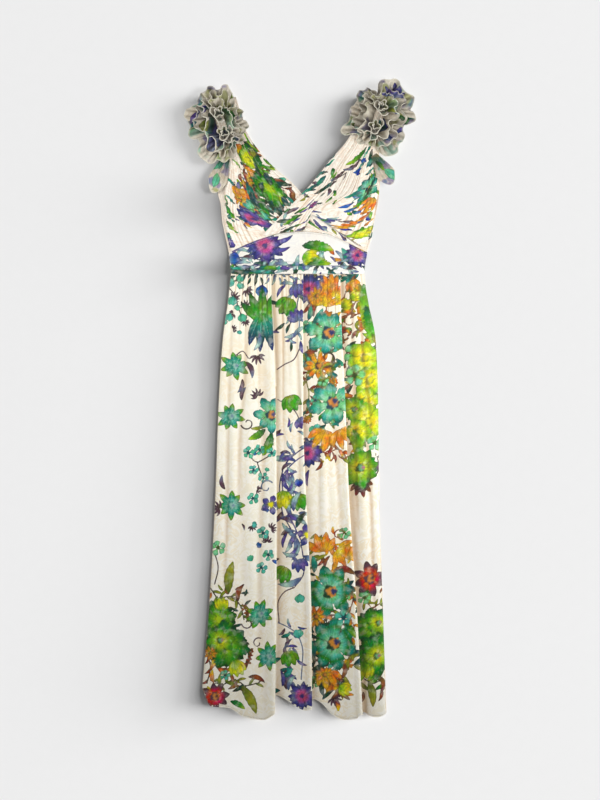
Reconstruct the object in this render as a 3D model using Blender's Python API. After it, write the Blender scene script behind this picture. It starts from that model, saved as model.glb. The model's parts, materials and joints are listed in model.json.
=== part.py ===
"""Sleeveless maxi dress laid out flat on its back, every piece a cloth wall at its real size.

The dress lies on z = 0 with its shoulders towards +Y and its hem towards -Y. The origin is the
middle of its bounding box, on the surface it lies on. Sizes and tables are in millimetres, and a
mesh is made in metres. "Left" and "right" are the sides seen from above, at -X and +X.
"""

import math
from collections import namedtuple

import bpy
import numpy as np

MM = 0.001

# Cloth and seams.
WALL = 1.2
SEAM_GAP = 0.3
EDGE_Z = WALL + SEAM_GAP + WALL / 2  # middle of a front wall where it meets the back at a side

# Levels of the front above the surface the dress lies on.
FRONT_Z = 4.6
SIDE_ROUND = 14.0  # width over which the front rolls down to a side seam
CUP_RISE = 13.0
CUP_WIDTH = 45.0
CUP_HEIGHT = 50.0
CUPS = ((-110.0, 452.0), (105.0, 452.0))  # middle of each cup
CROSS_LIFT = 3.4  # how far the crossing panel lies above the panel beneath it
CROSS_MARGIN = 45.0  # distance from the panel beneath at which the crossing panel has come down
CROSS_EASE = 40.0
CROSS_SIDE_SHARE = 0.7  # share of the lift that is left at the side seam
SHARP_ANGLE = 50.0  # degrees: a wall is shaded smooth up to here, and its rims stay sharp

# Heights along the dress.
SHOULDER_Y = 697.0
MIDRIFF_SIDE_Y = 336.0  # seam between bodice and midriff at the sides and on the back
TUCKS_TOP_Y = 315.0
WAIST_Y = 288.5

# Outline of the bodice and midriff, from the shoulders to the waist.
OUTLINE_COLUMNS = ("y", "left", "right", "back_left", "back_right")
OUTLINE = (
    (697.4, -212.0, 212.0, -212.0, 212.0),
    (655.7, -202.7, 202.7, -202.7, 202.7),
    (604.7, -188.8, 188.8, -188.8, 188.8),
    (570.0, -174.9, 180.7, -174.9, 180.7),
    (532.9, -166.8, 183.0, -174.0, 183.0),
    (505.1, -170.3, 186.5, -184.0, 186.5),
    (477.3, -175.1, 184.2, -189.0, 184.2),
    (449.5, -177.6, 177.3, -182.5, 177.3),
    (412.4, -174.3, 172.6, -179.3, 172.6),
    (377.7, -167.8, 168.3, -172.3, 168.3),
    (342.9, -162.3, 158.4, -164.8, 158.4),
    (315.1, -160.5, 152.8, -161.0, 152.8),
    (288.5, -158.2, 148.8, -158.2, 148.8),
)

# Lines down the front of the skirt: its sides, and the crests of its three deep folds.
SKIRT_COLUMNS = ("y", "left", "fold_1", "fold_2", "fold_3", "right")
SKIRT = (
    (288.5, -158.2, -66.0, 8.1, 93.8, 148.8),
    (227.1, -164.7, -64.9, 8.1, 95.0, 158.0),
    (134.4, -177.4, -60.2, 7.6, 98.5, 176.2),
    (-4.6, -186.4, -55.6, 7.4, 105.4, 182.0),
    (-236.3, -194.9, -53.3, 15.1, 114.7, 184.2),
    (-468.0, -208.0, -53.3, 26.6, 130.9, 192.2),
    (-715.0, -229.0, -56.8, 29.0, 144.8, 200.4),
)

# Runs of the front skirt between its folds. Each row is a place on the run: the share of the way
# from one line to the next, the height of the cloth at the waist and at the hem, the y of the hem
# there, and how many strips of mesh follow it.
Place = namedtuple("Place", ("share", "z_waist", "z_hem", "hem_y", "strips"))
RUNS = (
    ("left", "fold_1", (
        Place(0.00, EDGE_Z, EDGE_Z, -668.0, 1),
        Place(0.04, 4.0, 5.6, -684.0, 2),
        Place(0.14, 4.4, 8.2, -712.0, 4),
        Place(0.38, 4.5, 8.6, -716.0, 4),
        Place(0.62, 4.8, 10.2, -738.0, 4),
        Place(0.85, 5.4, 13.0, -743.0, 3),
    )),
    ("fold_1", "fold_2", (
        Place(0.30, 2.9, 4.6, -698.0, 3),
        Place(0.56, 4.2, 8.4, -712.0, 3),
        Place(0.82, 5.4, 12.2, -721.0, 2),
    )),
    ("fold_2", "fold_3", (
        Place(0.17, 2.8, 4.4, -704.0, 3),
        Place(0.42, 4.2, 8.0, -733.0, 4),
        Place(0.66, 4.8, 10.6, -743.0, 3),
        Place(0.87, 5.6, 13.4, -740.0, 2),
    )),
    ("fold_3", "right", (
        Place(0.30, 3.8, 7.2, -735.0, 3),
        Place(0.58, 4.6, 10.0, -737.0, 3),
        Place(0.82, 4.4, 9.0, -735.0, 3),
        Place(0.95, 3.6, 6.0, -731.0, 1),
        Place(1.00, EDGE_Z, EDGE_Z, -728.0, 0),
    )),
)

# Deep folds of the front skirt: how far each turns back under its crest, the level of its top at the
# waist and the hem, and the y of the hem on its top and on the cloth that comes out beneath it.
Fold = namedtuple(
    "Fold", ("line", "tuck_waist", "tuck_hem", "top_waist", "top_hem", "hem_y_top", "hem_y_low")
)
FOLDS = (
    Fold("fold_1", 16.0, 26.0, 6.6, 16.6, -732.0, -688.0),
    Fold("fold_2", 15.0, 22.0, 6.6, 15.6, -719.0, -697.0),
    Fold("fold_3", 15.0, 22.0, 6.6, 16.2, -731.0, -727.0),
)
FOLD_LOW_WAIST = 2.4
FOLD_LOW_HEM = 3.2
# Section of a deep fold: how far beside the crest, in turns of cloth and in depths of the fold,
# the level as shares of top and bottom, how far the hem has come down, and the strips after it.
FOLD_SECTION = (
    (-1.4, 0, 1.00, 0.00, 1),
    (0.0, 0, 0.75, 0.05, 1),
    (-1.4, 0, 0.50, 0.10, 3),
    (1.4, -1, 0.50, 0.45, 1),
    (0.0, -1, 0.25, 0.55, 1),
    (1.4, -1, 0.00, 0.65, 4),
    (1.2, 0, 0.00, 1.00, 2),
)
TURN_SHARE = 0.25  # round of a fold: its radius as a share of the fold's height

# Gathers that fall from the waist seam: place across the waist, height, half width, and the share
# of the skirt's length that the gather reaches.
Gather = namedtuple("Gather", ("x", "height", "half_width", "reach"))
GATHERS = (
    Gather(-151.0, 1.2, 5.0, 0.30),
    Gather(-138.0, 1.7, 5.5, 0.95),
    Gather(-122.0, 1.9, 6.0, 0.45),
    Gather(-109.0, 1.3, 5.0, 0.80),
    Gather(-95.0, 1.9, 5.5, 0.40),
    Gather(-80.0, 1.3, 5.0, 0.25),
    Gather(-50.0, 1.7, 5.5, 0.50),
    Gather(-36.0, 1.4, 5.0, 0.28),
    Gather(-20.0, 1.8, 5.5, 0.38),
    Gather(25.0, 1.5, 5.0, 0.30),
    Gather(41.0, 1.9, 6.0, 0.55),
    Gather(58.0, 1.4, 5.0, 0.30),
    Gather(74.0, 1.8, 5.5, 0.42),
    Gather(108.0, 1.5, 5.0, 0.35),
    Gather(120.0, 1.7, 5.5, 0.60),
    Gather(134.0, 1.4, 5.0, 0.30),
)
# Hem of the flat back of the skirt, from its left side to its right.
BACK_HEM = (
    (-214.0, -682.0),
    (-190.0, -688.0),
    (-60.0, -686.0),
    (-20.0, -688.0),
    (24.0, -697.0),
    (60.0, -699.0),
    (180.0, -697.0),
    (196.0, -692.0),
)
BACK_ROWS_Y = (227.0, 134.0, -5.0, -236.0, -468.0, -600.0, -666.0)  # points down its sides
SKIRT_ROWS = (0.0, 0.03, 0.07, 0.12, 0.18, 0.25, 0.33, 0.42, 0.52, 0.62, 0.72, 0.82, 0.91, 0.96, 1.0)

# Pleated front panels. The rows are even steps from the shoulder seam down to the seam under the
# bust, and each pair is the x and y of one pleat line there, from the neck edge to the side.
PLEAT_LINES = ("neck", "pleat_b", "pleat_c", "pleat_d", "pleat_e", "side")
LEFT_PANEL = (
    ((-147, 697), (-160, 697), (-173, 697), (-186, 697), (-199, 697), (-212, 697)),
    ((-124, 620), (-136, 616), (-148, 612), (-161, 609), (-175, 607), (-189, 605)),
    ((-75, 550), (-93, 543), (-112, 539), (-131, 535), (-149, 533), (-166, 533)),
    ((-15, 496), (-45, 482), (-78, 473), (-110, 468), (-142, 469), (-173, 477)),
    ((59, 410), (6, 417), (-43, 419), (-87, 417), (-131, 412), (-173, 412)),
    ((150, 342), (71, 376), (13, 384), (-45, 379), (-103, 362), (-159, 338)),
)
RIGHT_PANEL = (
    ((147, 697), (160, 697), (173, 697), (186, 697), (199, 697), (212, 697)),
    ((117, 607), (131, 605), (146, 603), (160, 602), (174, 603), (188, 604)),
    ((70, 549), (91, 544), (112, 539), (134, 534), (159, 532), (183, 533)),
    ((26, 494), (52, 484), (78, 476), (104, 471), (144, 470), (184, 477)),
    ((-22, 443), (6, 431), (34, 433), (52, 446), (112, 424), (173, 412)),
    ((-87, 375), (-38, 382), (10, 387), (24, 428), (89, 385), (152, 346)),
)
PLEATS = 10
PLEAT_DEPTH = 1.3
STRIPS_A_PLEAT = 3
ARCH_FIT_POWER = 6  # how late, down the left panel, its rows bend to the seam
PANEL_ROWS = (0.0, 0.04, 0.1, 0.2, 0.32, 0.42, 0.5, 0.57, 0.64, 0.7, 0.76, 0.82, 0.88, 0.94, 1.0)

# Midriff: the arch of its upper edge, soft creases, then three tucks above the waist seam.
ARCH_COLUMNS = ("x", "y")
ARCH = (
    (-163.0, 336.5),
    (-96.0, 365.0),
    (-34.0, 381.5),
    (13.0, 384.0),
    (59.0, 379.5),
    (105.0, 361.0),
    (158.0, 336.5),
)
ARCH_GAP = 0.9
CREASE_DEPTH = 0.7
CREASES = 2
TUCKS = 3
TUCK_HEIGHT = 2.6
TUCK_BASE_Z = (7.4, 10.3)  # valley above the first tuck, and below the last
TUCK_OVERHANG = 2.0  # how far the last tuck covers the top of the skirt
TUCK_SIDE_GAP = 0.6
MIDRIFF_STRIPS = 22
CREASE_ROWS = 6
ROWS_A_TUCK = 4

# Back neckline, from the left shoulder down to its point.
BACK_NECK = (
    (-148.0, 697.0),
    (-131.0, 621.0),
    (-96.0, 540.0),
    (-50.0, 466.0),
    (1.0, 408.0),
)

# Shoulder rosettes: three flounces round a stem, two swirls inside them and a petal that trails.
# A lobe row is a direction in degrees from +X and the reach of the outer flounce that way.
Rosette = namedtuple("Rosette", ("side", "centre", "stem_turn", "lobes", "tail"))
ROSETTES = (
    Rosette(
        "left", (-180.0, 630.0), 107.0,
        (
            (-40, 57), (-20, 58), (2, 56), (30, 56), (54, 52), (68, 70), (80, 90), (94, 88),
            (110, 92), (122, 84), (134, 78), (148, 84), (163, 86), (178, 80), (206, 70), (220, 74),
            (238, 86), (249, 95), (264, 88), (284, 78), (302, 67),
        ),
        ((-167.0, 562.0), (-200.5, 474.0)),
    ),
    Rosette(
        "right", (181.0, 645.0), 72.0,
        (
            (-34, 69), (-16, 71), (4, 82), (14, 82), (27, 96), (42, 87), (56, 98), (72, 95),
            (84, 86), (97, 60), (112, 75), (136, 70), (160, 64), (184, 72), (203, 83), (220, 70),
            (249, 66), (268, 69), (283, 88), (300, 90), (313, 81),
        ),
        ((172.0, 562.0), (214.0, 494.0)),
    ),
)
ROSETTE_BASE_Z = 7.5
STEM_HALF = 26.0
STEM_RADIUS = 11.0
STEM_CORNER = 2.5  # how quickly the loop goes from one end of the stem to the other
Flounce = namedtuple(
    "Flounce", ("name", "share", "base_z", "edge_z", "waves", "wave", "sway", "strips", "rows")
)
FLOUNCES = (
    Flounce("outer", 1.00, ROSETTE_BASE_Z, 14.0, 9, 4.2, 3.0, 50, 3),
    Flounce("middle", 0.66, 9.1, 26.0, 8, 4.4, 5.0, 46, 3),
    Flounce("inner", 0.38, 11.3, 36.0, 7, 3.4, 4.0, 40, 2),
)
WAVE_DRIFT = 0.6  # radians by which the waves bunch up and spread round a flounce
Swirl = namedtuple("Swirl", ("name", "along_stem", "start_angle"))
SWIRLS = (
    Swirl("upper", 24.0, 0.4),
    Swirl("lower", -24.0, 2.2),
)
SWIRL_TURNS = 1.8
SWIRL_BASE_RADIUS = (2.4, 7.0)
SWIRL_TOP_RADIUS = (4.5, 18.5)
SWIRL_TOP_Z = (46.0, 39.0)
SWIRL_WAVES = 10
SWIRL_WAVE = 2.2
SWIRL_INNER_WAVE_SHARE = 0.3
SWIRL_WAVE_SPACING = 0.8
SWIRL_FLARE = 1.3
SWIRL_STRIPS = 36
SWIRL_ROWS = 2
TAIL_SPREAD = 22.0
TAIL_BASE_WIDTH = 7.0
TAIL_BASE_Z = 7.3
TAIL_TIP_Z = 8.0
TAIL_WAVE = 1.2
TAIL_ROUND = 0.32  # how far the sides of the tip stay back
TAIL_STRIPS = 6
TAIL_ROWS = 4

# Finishes: colour, roughness.
CREAM = (0.87, 0.81, 0.70)
IVORY = (0.91, 0.87, 0.79)
TAUPE = (0.62, 0.56, 0.47)
LEAF = (0.35, 0.52, 0.20)
CLOTH_ROUGHNESS = 0.72


# A place on the skirt's section: between which lines it lies and where, its shift and level at the
# waist and at the hem, the y of the hem there, and the strips of mesh after it.
Station = namedtuple(
    "Station",
    (
        "line", "next_line", "share", "shift_waist", "shift_hem",
        "z_waist", "z_hem", "hem_y", "strips",
    ),
)


def slopes_of(knots, values):
    """Slope at each knot, so that the curve never overshoots: level at a peak or a valley, and
    otherwise the weighted harmonic mean of the slopes on both sides."""
    steps = np.diff(knots, axis=-1)
    rises = np.diff(values, axis=-1) / steps
    before, after = rises[..., :-1], rises[..., 1:]
    weight_before = 2 * steps[..., 1:] + steps[..., :-1]
    weight_after = steps[..., 1:] + 2 * steps[..., :-1]
    same_way = before * after > 0
    safe_before = np.where(same_way, before, 1.0)
    safe_after = np.where(same_way, after, 1.0)
    mean = (weight_before + weight_after) / (weight_before / safe_before + weight_after / safe_after)
    inner = np.where(same_way, mean, 0.0)
    return np.concatenate([rises[..., :1], inner, rises[..., -1:]], axis=-1)


def hermite(start, end, start_slope, end_slope, step, share):
    """Cubic from start to end with the given slopes, read at a share of the step between them."""
    squared, cubed = share**2, share**3
    return (
        (2 * cubed - 3 * squared + 1) * start
        + (cubed - 2 * squared + share) * step * start_slope
        + (3 * squared - 2 * cubed) * end
        + (cubed - squared) * step * end_slope
    )


def smooth_through(knots, values, places):
    """Smooth curve through values at rising knots, read at the given places."""
    knots = np.asarray(knots, float)
    values = np.asarray(values, float)
    slopes = slopes_of(knots, values)
    i = np.clip(np.searchsorted(knots, places, "right") - 1, 0, len(knots) - 2)
    step = knots[i + 1] - knots[i]
    share = (places - knots[i]) / step
    return hermite(values[i], values[i + 1], slopes[i], slopes[i + 1], step, share)


def smooth_round(angles, values, places):
    """Smooth closed curve through values at rising angles in degrees, read at the given places."""
    knots = np.concatenate([np.array(angles[-3:]) - 360, angles, np.array(angles[:3]) + 360])
    around = np.concatenate([values[-3:], values, values[:3]])
    return smooth_through(knots, around, places)


def smooth_strip(stations, counts):
    """Fills rows of stations (rows, stations, 3) with counts[i] strips after station i, by chord."""
    chords = np.linalg.norm(np.diff(stations, axis=1), axis=2)
    knots = np.concatenate([np.zeros((len(stations), 1)), np.cumsum(chords, axis=1)], axis=1)
    values = np.moveaxis(stations, 2, 0)
    slopes = slopes_of(knots[None], values)
    i = np.concatenate([np.full(n, k) for k, n in enumerate(counts) if n] + [[len(counts) - 2]])
    share = np.concatenate([np.arange(n) / n for n in counts if n] + [[1.0]])
    i = i.astype(int)
    filled = hermite(
        values[..., i], values[..., i + 1], slopes[..., i], slopes[..., i + 1], chords[None, :, i], share
    )
    return np.moveaxis(filled, 0, 2)


def column(columns, rows, name):
    """One named column of a table, as an array."""
    return np.array([row[columns.index(name)] for row in rows], float)


def down_line(columns, rows, name, y):
    """A line down the dress: the named column of a table, smooth in y."""
    return smooth_through(-column(columns, rows, "y"), column(columns, rows, name), -np.asarray(y))


def eased(share):
    """0 to 1 with level ends."""
    share = np.clip(share, 0, 1)
    return share * share * (3 - 2 * share)


def rolled(distance):
    """Quarter round that rises from 0 at an edge to 1 over SIDE_ROUND."""
    return np.sqrt(1 - (1 - np.clip(distance / SIDE_ROUND, 0, 1)) ** 2)


def edge_roll(x, y):
    """How far the bodice has risen from its side seams and shoulder seams, 0 to 1."""
    left = x - down_line(OUTLINE_COLUMNS, OUTLINE, "left", y)
    right = down_line(OUTLINE_COLUMNS, OUTLINE, "right", y) - x
    return rolled(np.minimum(np.minimum(left, right), SHOULDER_Y - y))


def bodice_level(x, y):
    """Height of the front of the bodice: nearly flat, with two soft cups."""
    level = np.full(np.shape(x), FRONT_Z)
    for cup_x, cup_y in CUPS:
        level = level + CUP_RISE * np.exp(
            -(((x - cup_x) / CUP_WIDTH) ** 2) - ((y - cup_y) / CUP_HEIGHT) ** 2
        )
    return EDGE_Z + (level - EDGE_Z) * edge_roll(x, y)


def normals_of(middle, wraps):
    """Unit normals of a grid of points, from the differences along its rows and columns."""
    if wraps:
        across = np.roll(middle, -1, axis=1) - np.roll(middle, 1, axis=1)
    else:
        across = np.gradient(middle, axis=1)
    along = np.gradient(middle, axis=0)
    normal = np.cross(across, along)
    return normal / np.linalg.norm(normal, axis=2, keepdims=True)


def add_object(name, points, faces, colour):
    """Makes one named object from points in millimetres, with a finish of its own."""
    mesh = bpy.data.meshes.new(name)
    mesh.from_pydata((points * MM).tolist(), [], faces)
    mesh.shade_smooth()
    mesh.set_sharp_from_angle(angle=math.radians(SHARP_ANGLE))
    finish = bpy.data.materials.new(f"{name}_cloth")
    finish.use_nodes = True
    shader = finish.node_tree.nodes["Principled BSDF"]
    shader.inputs["Base Color"].default_value = (*colour, 1.0)
    shader.inputs["Roughness"].default_value = CLOTH_ROUGHNESS
    shader.inputs["Metallic"].default_value = 0.0
    mesh.materials.append(finish)
    piece = bpy.data.objects.new(name, mesh)
    bpy.context.scene.collection.objects.link(piece)
    return piece


def cloth_wall(name, middle, colour, wraps=False):
    """Closed wall of cloth round a grid of middle points (rows, columns, 3)."""
    rows, columns = middle.shape[:2]
    offset = normals_of(middle, wraps) * WALL / 2
    points = np.concatenate([(middle + offset).reshape(-1, 3), (middle - offset).reshape(-1, 3)])
    index = np.arange(rows * columns).reshape(rows, columns)
    if wraps:
        index = np.concatenate([index, index[:, :1]], axis=1)
    a, b, c, d = index[:-1, :-1], index[:-1, 1:], index[1:, 1:], index[1:, :-1]
    under = rows * columns
    quads = [
        np.stack([a, b, c, d], axis=-1).reshape(-1, 4),
        np.stack([d, c, b, a], axis=-1).reshape(-1, 4) + under,
    ]
    rims = [index[0], index[-1, ::-1]]
    if not wraps:
        rims += [index[::-1, 0], index[:, -1]]
    for rim in rims:
        quads.append(np.stack([rim[:-1], rim[:-1] + under, rim[1:] + under, rim[1:]], axis=-1))
    return add_object(name, points, np.concatenate(quads).tolist(), colour)


def flat_panel(name, outline, colour):
    """Flat cloth wall on the surface, inside an outline that runs anticlockwise from above."""
    count = len(outline)
    low = np.column_stack([outline, np.zeros(count)])
    high = np.column_stack([outline, np.full(count, WALL)])
    faces = [list(range(count))[::-1], list(range(count, 2 * count))]
    for i in range(count):
        after = (i + 1) % count
        faces.append([i, after, after + count, i + count])
    return add_object(name, np.concatenate([low, high]), faces, colour)


def folded_edge(fold):
    """Stations of one deep fold: over its crest, back underneath, and out again at the bottom."""
    low = np.array([FOLD_LOW_WAIST, FOLD_LOW_HEM])
    rise = np.array([fold.top_waist, fold.top_hem]) - low
    tuck = np.array([fold.tuck_waist, fold.tuck_hem])
    stations = []
    for turns, depths, level, hem_share, strips in FOLD_SECTION:
        shift = turns * TURN_SHARE * rise + depths * tuck
        hem_y = fold.hem_y_top + hem_share * (fold.hem_y_low - fold.hem_y_top)
        stations.append(Station(fold.line, fold.line, 0.0, *shift, *(low + level * rise), hem_y, strips))
    return stations


def skirt_front_stations():
    """All stations across the front skirt, from its left side to its right."""
    stations = []
    for i, (line, next_line, places) in enumerate(RUNS):
        for place in places:
            stations.append(
                Station(
                    line, next_line, place.share, 0.0, 0.0,
                    place.z_waist, place.z_hem, place.hem_y, place.strips,
                )
            )
        if i < len(FOLDS):
            stations += folded_edge(FOLDS[i])
    return stations


def gathers_at(waist_x, down):
    """Height that the gathers add, by the place across the waist and the share down the skirt."""
    height = np.zeros(np.broadcast(waist_x, down).shape)
    for gather in GATHERS:
        profile = np.exp(-(((waist_x - gather.x) / gather.half_width) ** 2))
        height = height + gather.height * profile * (1 - eased(down / gather.reach))
    return height


def skirt_front_points():
    """Middle points of the front skirt: a folded section at the waist that grows towards the hem."""
    stations = skirt_front_stations()
    down = np.array(SKIRT_ROWS)[:, None]
    numbers = np.array([station[2:] for station in stations], float)
    share, shift_waist, shift_hem, z_waist, z_hem, hem_y, strips = numbers.T
    top_y = WAIST_Y - SEAM_GAP / 2
    y = top_y + (hem_y - top_y) * down
    lines = {
        name: down_line(SKIRT_COLUMNS, SKIRT, name, y)
        for name in SKIRT_COLUMNS[1:]
    }
    from_x = np.stack([lines[place.line][:, k] for k, place in enumerate(stations)], axis=1)
    to_x = np.stack([lines[place.next_line][:, k] for k, place in enumerate(stations)], axis=1)
    x = from_x + (to_x - from_x) * share + shift_waist + (shift_hem - shift_waist) * down
    z = z_waist + (z_hem - z_waist) * down
    middle = smooth_strip(np.stack([x, y, z], axis=2), strips.astype(int))
    middle[..., 2] += gathers_at(middle[:1, :, 0], down) * np.clip(middle[..., 2] - EDGE_Z, 0, 1)
    return middle


def pleat_ridge(place):
    """Height of the knife pleats, 0 to 1: a slow rise, then a drop over a pleat's last strip."""
    drop_from = 1 - 1 / STRIPS_A_PLEAT
    share = np.mod(place, 1.0)
    rise = np.sin(share / drop_from * math.pi / 2)
    return np.where(share < drop_from, rise, (1 - share) * STRIPS_A_PLEAT)


def panel_points(panel, crosses_over):
    """Middle points of one pleated front panel, from its table of pleat lines."""
    lines = np.array(panel, float)
    steps = np.linspace(0, 1, len(panel))
    down = np.array(PANEL_ROWS)
    across = np.linspace(0, 1, PLEATS * STRIPS_A_PLEAT + 1)
    at_lines = np.linspace(0, 1, len(PLEAT_LINES))
    plan = np.empty((len(down), len(across), 2))
    for axis in range(2):
        lines_down = np.stack(
            [smooth_through(steps, lines[:, k, axis], down) for k in range(len(PLEAT_LINES))], axis=1
        )
        plan[..., axis] = np.stack([np.interp(across, at_lines, row) for row in lines_down])
    x, y = plan[..., 0], plan[..., 1]
    roll = edge_roll(x, y)
    z = bodice_level(x, y) + PLEAT_DEPTH * pleat_ridge(across * PLEATS) * roll * np.sqrt(
        eased(across * PLEATS) * eased((1 - across) * PLEATS)
    )
    if crosses_over:
        edge_beneath = np.array([row[0] for row in LEFT_PANEL], float)
        above_it = y - np.interp(x, edge_beneath[:, 0], edge_beneath[:, 1])
        lift = eased((CROSS_MARGIN - above_it) / CROSS_EASE)
        z = z + CROSS_LIFT * lift * (roll + (1 - roll) * CROSS_SIDE_SHARE)
    else:
        to_arch = arch_height(x[-1:]) + ARCH_GAP - y[-1:]
        y = y + to_arch * down[:, None] ** ARCH_FIT_POWER
    return np.stack([x, y, z], axis=2)


def arch_height(x):
    """Height of the seam under the bust, a low arch across the midriff."""
    return smooth_through(column(ARCH_COLUMNS, ARCH, "x"), column(ARCH_COLUMNS, ARCH, "y"), x)


def midriff_points():
    """Middle points of the midriff: soft creases under the arch, then tucks down to the waist."""
    across = 0.5 - 0.5 * np.cos(np.linspace(0, math.pi, MIDRIFF_STRIPS + 1))
    crease = np.linspace(0, 1, CREASE_ROWS + 1)[:, None]
    tuck = np.linspace(0, TUCKS, TUCKS * ROWS_A_TUCK + 1)[1:, None]

    arch_left = down_line(OUTLINE_COLUMNS, OUTLINE, "left", ARCH[0][1])
    arch_right = down_line(OUTLINE_COLUMNS, OUTLINE, "right", ARCH[-1][1])
    arch_x = arch_left + (arch_right - arch_left) * across
    arch_y = arch_height(arch_x)
    crease_y = arch_y + (TUCKS_TOP_Y - arch_y) * crease

    side = rolled(np.minimum(across, 1 - across) * (arch_right - arch_left))
    bottom_y = WAIST_Y + TUCK_SIDE_GAP - (TUCK_OVERHANG + TUCK_SIDE_GAP) * side
    tuck_y = TUCKS_TOP_Y + (bottom_y - TUCKS_TOP_Y) * tuck / TUCKS

    y = np.concatenate([crease_y, tuck_y])
    left = down_line(OUTLINE_COLUMNS, OUTLINE, "left", y[:, :1])
    right = down_line(OUTLINE_COLUMNS, OUTLINE, "right", y[:, -1:])
    x = left + (right - left) * across

    first, last = TUCK_BASE_Z
    top_z = bodice_level(x[:1], y[:1])
    crease_z = top_z + (first - top_z) * eased(crease)
    crease_z = crease_z + CREASE_DEPTH * np.sin(crease * math.pi * CREASES) ** 2
    share = np.mod(tuck, 1.0)
    tuck_z = first + (last - first) * tuck / TUCKS + TUCK_HEIGHT * np.sqrt(1 - (2 * share - 1) ** 2)
    tuck_z = np.broadcast_to(tuck_z, (len(tuck), len(across)))
    z = np.concatenate([np.broadcast_to(crease_z, crease_y.shape), tuck_z])
    z = EDGE_Z + (z - EDGE_Z) * side
    z[0] = top_z
    return np.stack([x, y, z], axis=2)


def heading(degrees):
    """Unit direction in plan, anticlockwise from +X."""
    angle = np.radians(degrees)
    return np.stack([np.cos(angle), np.sin(angle)], axis=-1)


def stem_loop(centre, stem_turn, degrees):
    """Loop at the foot of a rosette: two half rounds joined along the shoulder, and its directions."""
    direction = heading(degrees)
    axis = heading(stem_turn)
    along = STEM_HALF * np.tanh(STEM_CORNER * direction @ axis)
    return np.array(centre) + along[:, None] * axis + STEM_RADIUS * direction, direction


def flounce_points(rosette, flounce):
    """Middle points of a flounce: a ring that spreads from the stem loop, its free edge in waves."""
    degrees = np.arange(flounce.strips) * 360 / flounce.strips
    foot, direction = stem_loop(rosette.centre, rosette.stem_turn, degrees)
    angles, reaches = zip(*rosette.lobes)
    from_first = np.mod(degrees - angles[0], 360) + angles[0]
    reach = smooth_round(angles, np.array(reaches, float), from_first)
    edge = np.array(rosette.centre) + reach[:, None] * direction
    phase = np.radians(degrees) * flounce.waves + WAVE_DRIFT * np.sin(np.radians(degrees) * 2)
    out = np.linspace(0, 1, flounce.rows + 1)[:, None]
    across = flounce.share * (edge - foot) + flounce.sway * np.cos(phase)[:, None] * direction
    plan = foot + out[..., None] * across
    z = flounce.base_z + (flounce.edge_z - flounce.base_z) * out + flounce.wave * out * np.sin(phase)
    return np.concatenate([plan, z[..., None]], axis=2)


def swirl_points(rosette, swirl):
    """Middle points of a swirl: a strip wound in a flat coil that opens and waves at its top."""
    centre = np.array(rosette.centre) + swirl.along_stem * heading(rosette.stem_turn)
    along = np.linspace(0, 1, SWIRL_STRIPS + 1)
    up = np.linspace(0, 1, SWIRL_ROWS + 1)[:, None]
    angle = swirl.start_angle + 2 * math.pi * SWIRL_TURNS * along
    foot = SWIRL_BASE_RADIUS[0] + (SWIRL_BASE_RADIUS[1] - SWIRL_BASE_RADIUS[0]) * along
    top = SWIRL_TOP_RADIUS[0] + (SWIRL_TOP_RADIUS[1] - SWIRL_TOP_RADIUS[0]) * along
    wave_share = SWIRL_INNER_WAVE_SHARE + (1 - SWIRL_INNER_WAVE_SHARE) * along
    wave = SWIRL_WAVE * wave_share * np.sin(2 * math.pi * SWIRL_WAVES * along**SWIRL_WAVE_SPACING)
    radius = foot + (top - foot) * up**SWIRL_FLARE + wave * up
    top_z = SWIRL_TOP_Z[0] + (SWIRL_TOP_Z[1] - SWIRL_TOP_Z[0]) * along
    z = ROSETTE_BASE_Z + (top_z - ROSETTE_BASE_Z) * up
    x = centre[0] + radius * np.cos(angle)
    y = centre[1] + radius * np.sin(angle)
    return np.stack([x, y, z], axis=2)


def tail_points(rosette):
    """Middle points of a trailing petal: a fan from its gathered base to a round, wavy tip."""
    base, tip = np.array(rosette.tail)
    length = np.linalg.norm(tip - base)
    ahead = (tip - base) / length
    beside = np.array([-ahead[1], ahead[0]])
    across = np.linspace(-1, 1, TAIL_STRIPS + 1)
    out = np.linspace(0, 1, TAIL_ROWS + 1)[:, None]
    width = TAIL_BASE_WIDTH + (TAIL_SPREAD - TAIL_BASE_WIDTH) * np.sin(out * math.pi / 2)
    reach = length * out * (1 - TAIL_ROUND * across**2 * out)
    plan = base + reach[..., None] * ahead + (width * across)[..., None] * beside
    z = TAIL_BASE_Z + (TAIL_TIP_Z - TAIL_BASE_Z) * out + TAIL_WAVE * out * np.sin(across * math.pi * 2)
    return np.concatenate([plan, z[..., None]], axis=2)


def side_points(columns, rows, left, right, y):
    """Plan points down the left side of a panel, and those up its right side."""
    down_left = np.column_stack([down_line(columns, rows, left, y), y])
    up_right = np.column_stack([down_line(columns, rows, right, y), y])[::-1]
    return down_left, up_right


def make_skirt():
    """Front of the skirt with its folds and gathers, over a flat back."""
    cloth_wall("skirt_front", skirt_front_points(), CREAM)
    y = np.array((WAIST_Y - SEAM_GAP / 2, *BACK_ROWS_Y))
    down_left, up_right = side_points(SKIRT_COLUMNS, SKIRT, "left", "right", y)
    flat_panel("skirt_back", np.concatenate([down_left, BACK_HEM, up_right]), CREAM)


def make_midriff():
    """Midriff with its creases and tucks, over a flat back."""
    cloth_wall("midriff_front", midriff_points(), IVORY)
    y = np.array((MIDRIFF_SIDE_Y, WAIST_Y + SEAM_GAP / 2))
    sides = side_points(OUTLINE_COLUMNS, OUTLINE, "back_left", "back_right", y)
    flat_panel("midriff_back", np.concatenate(sides), IVORY)


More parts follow.
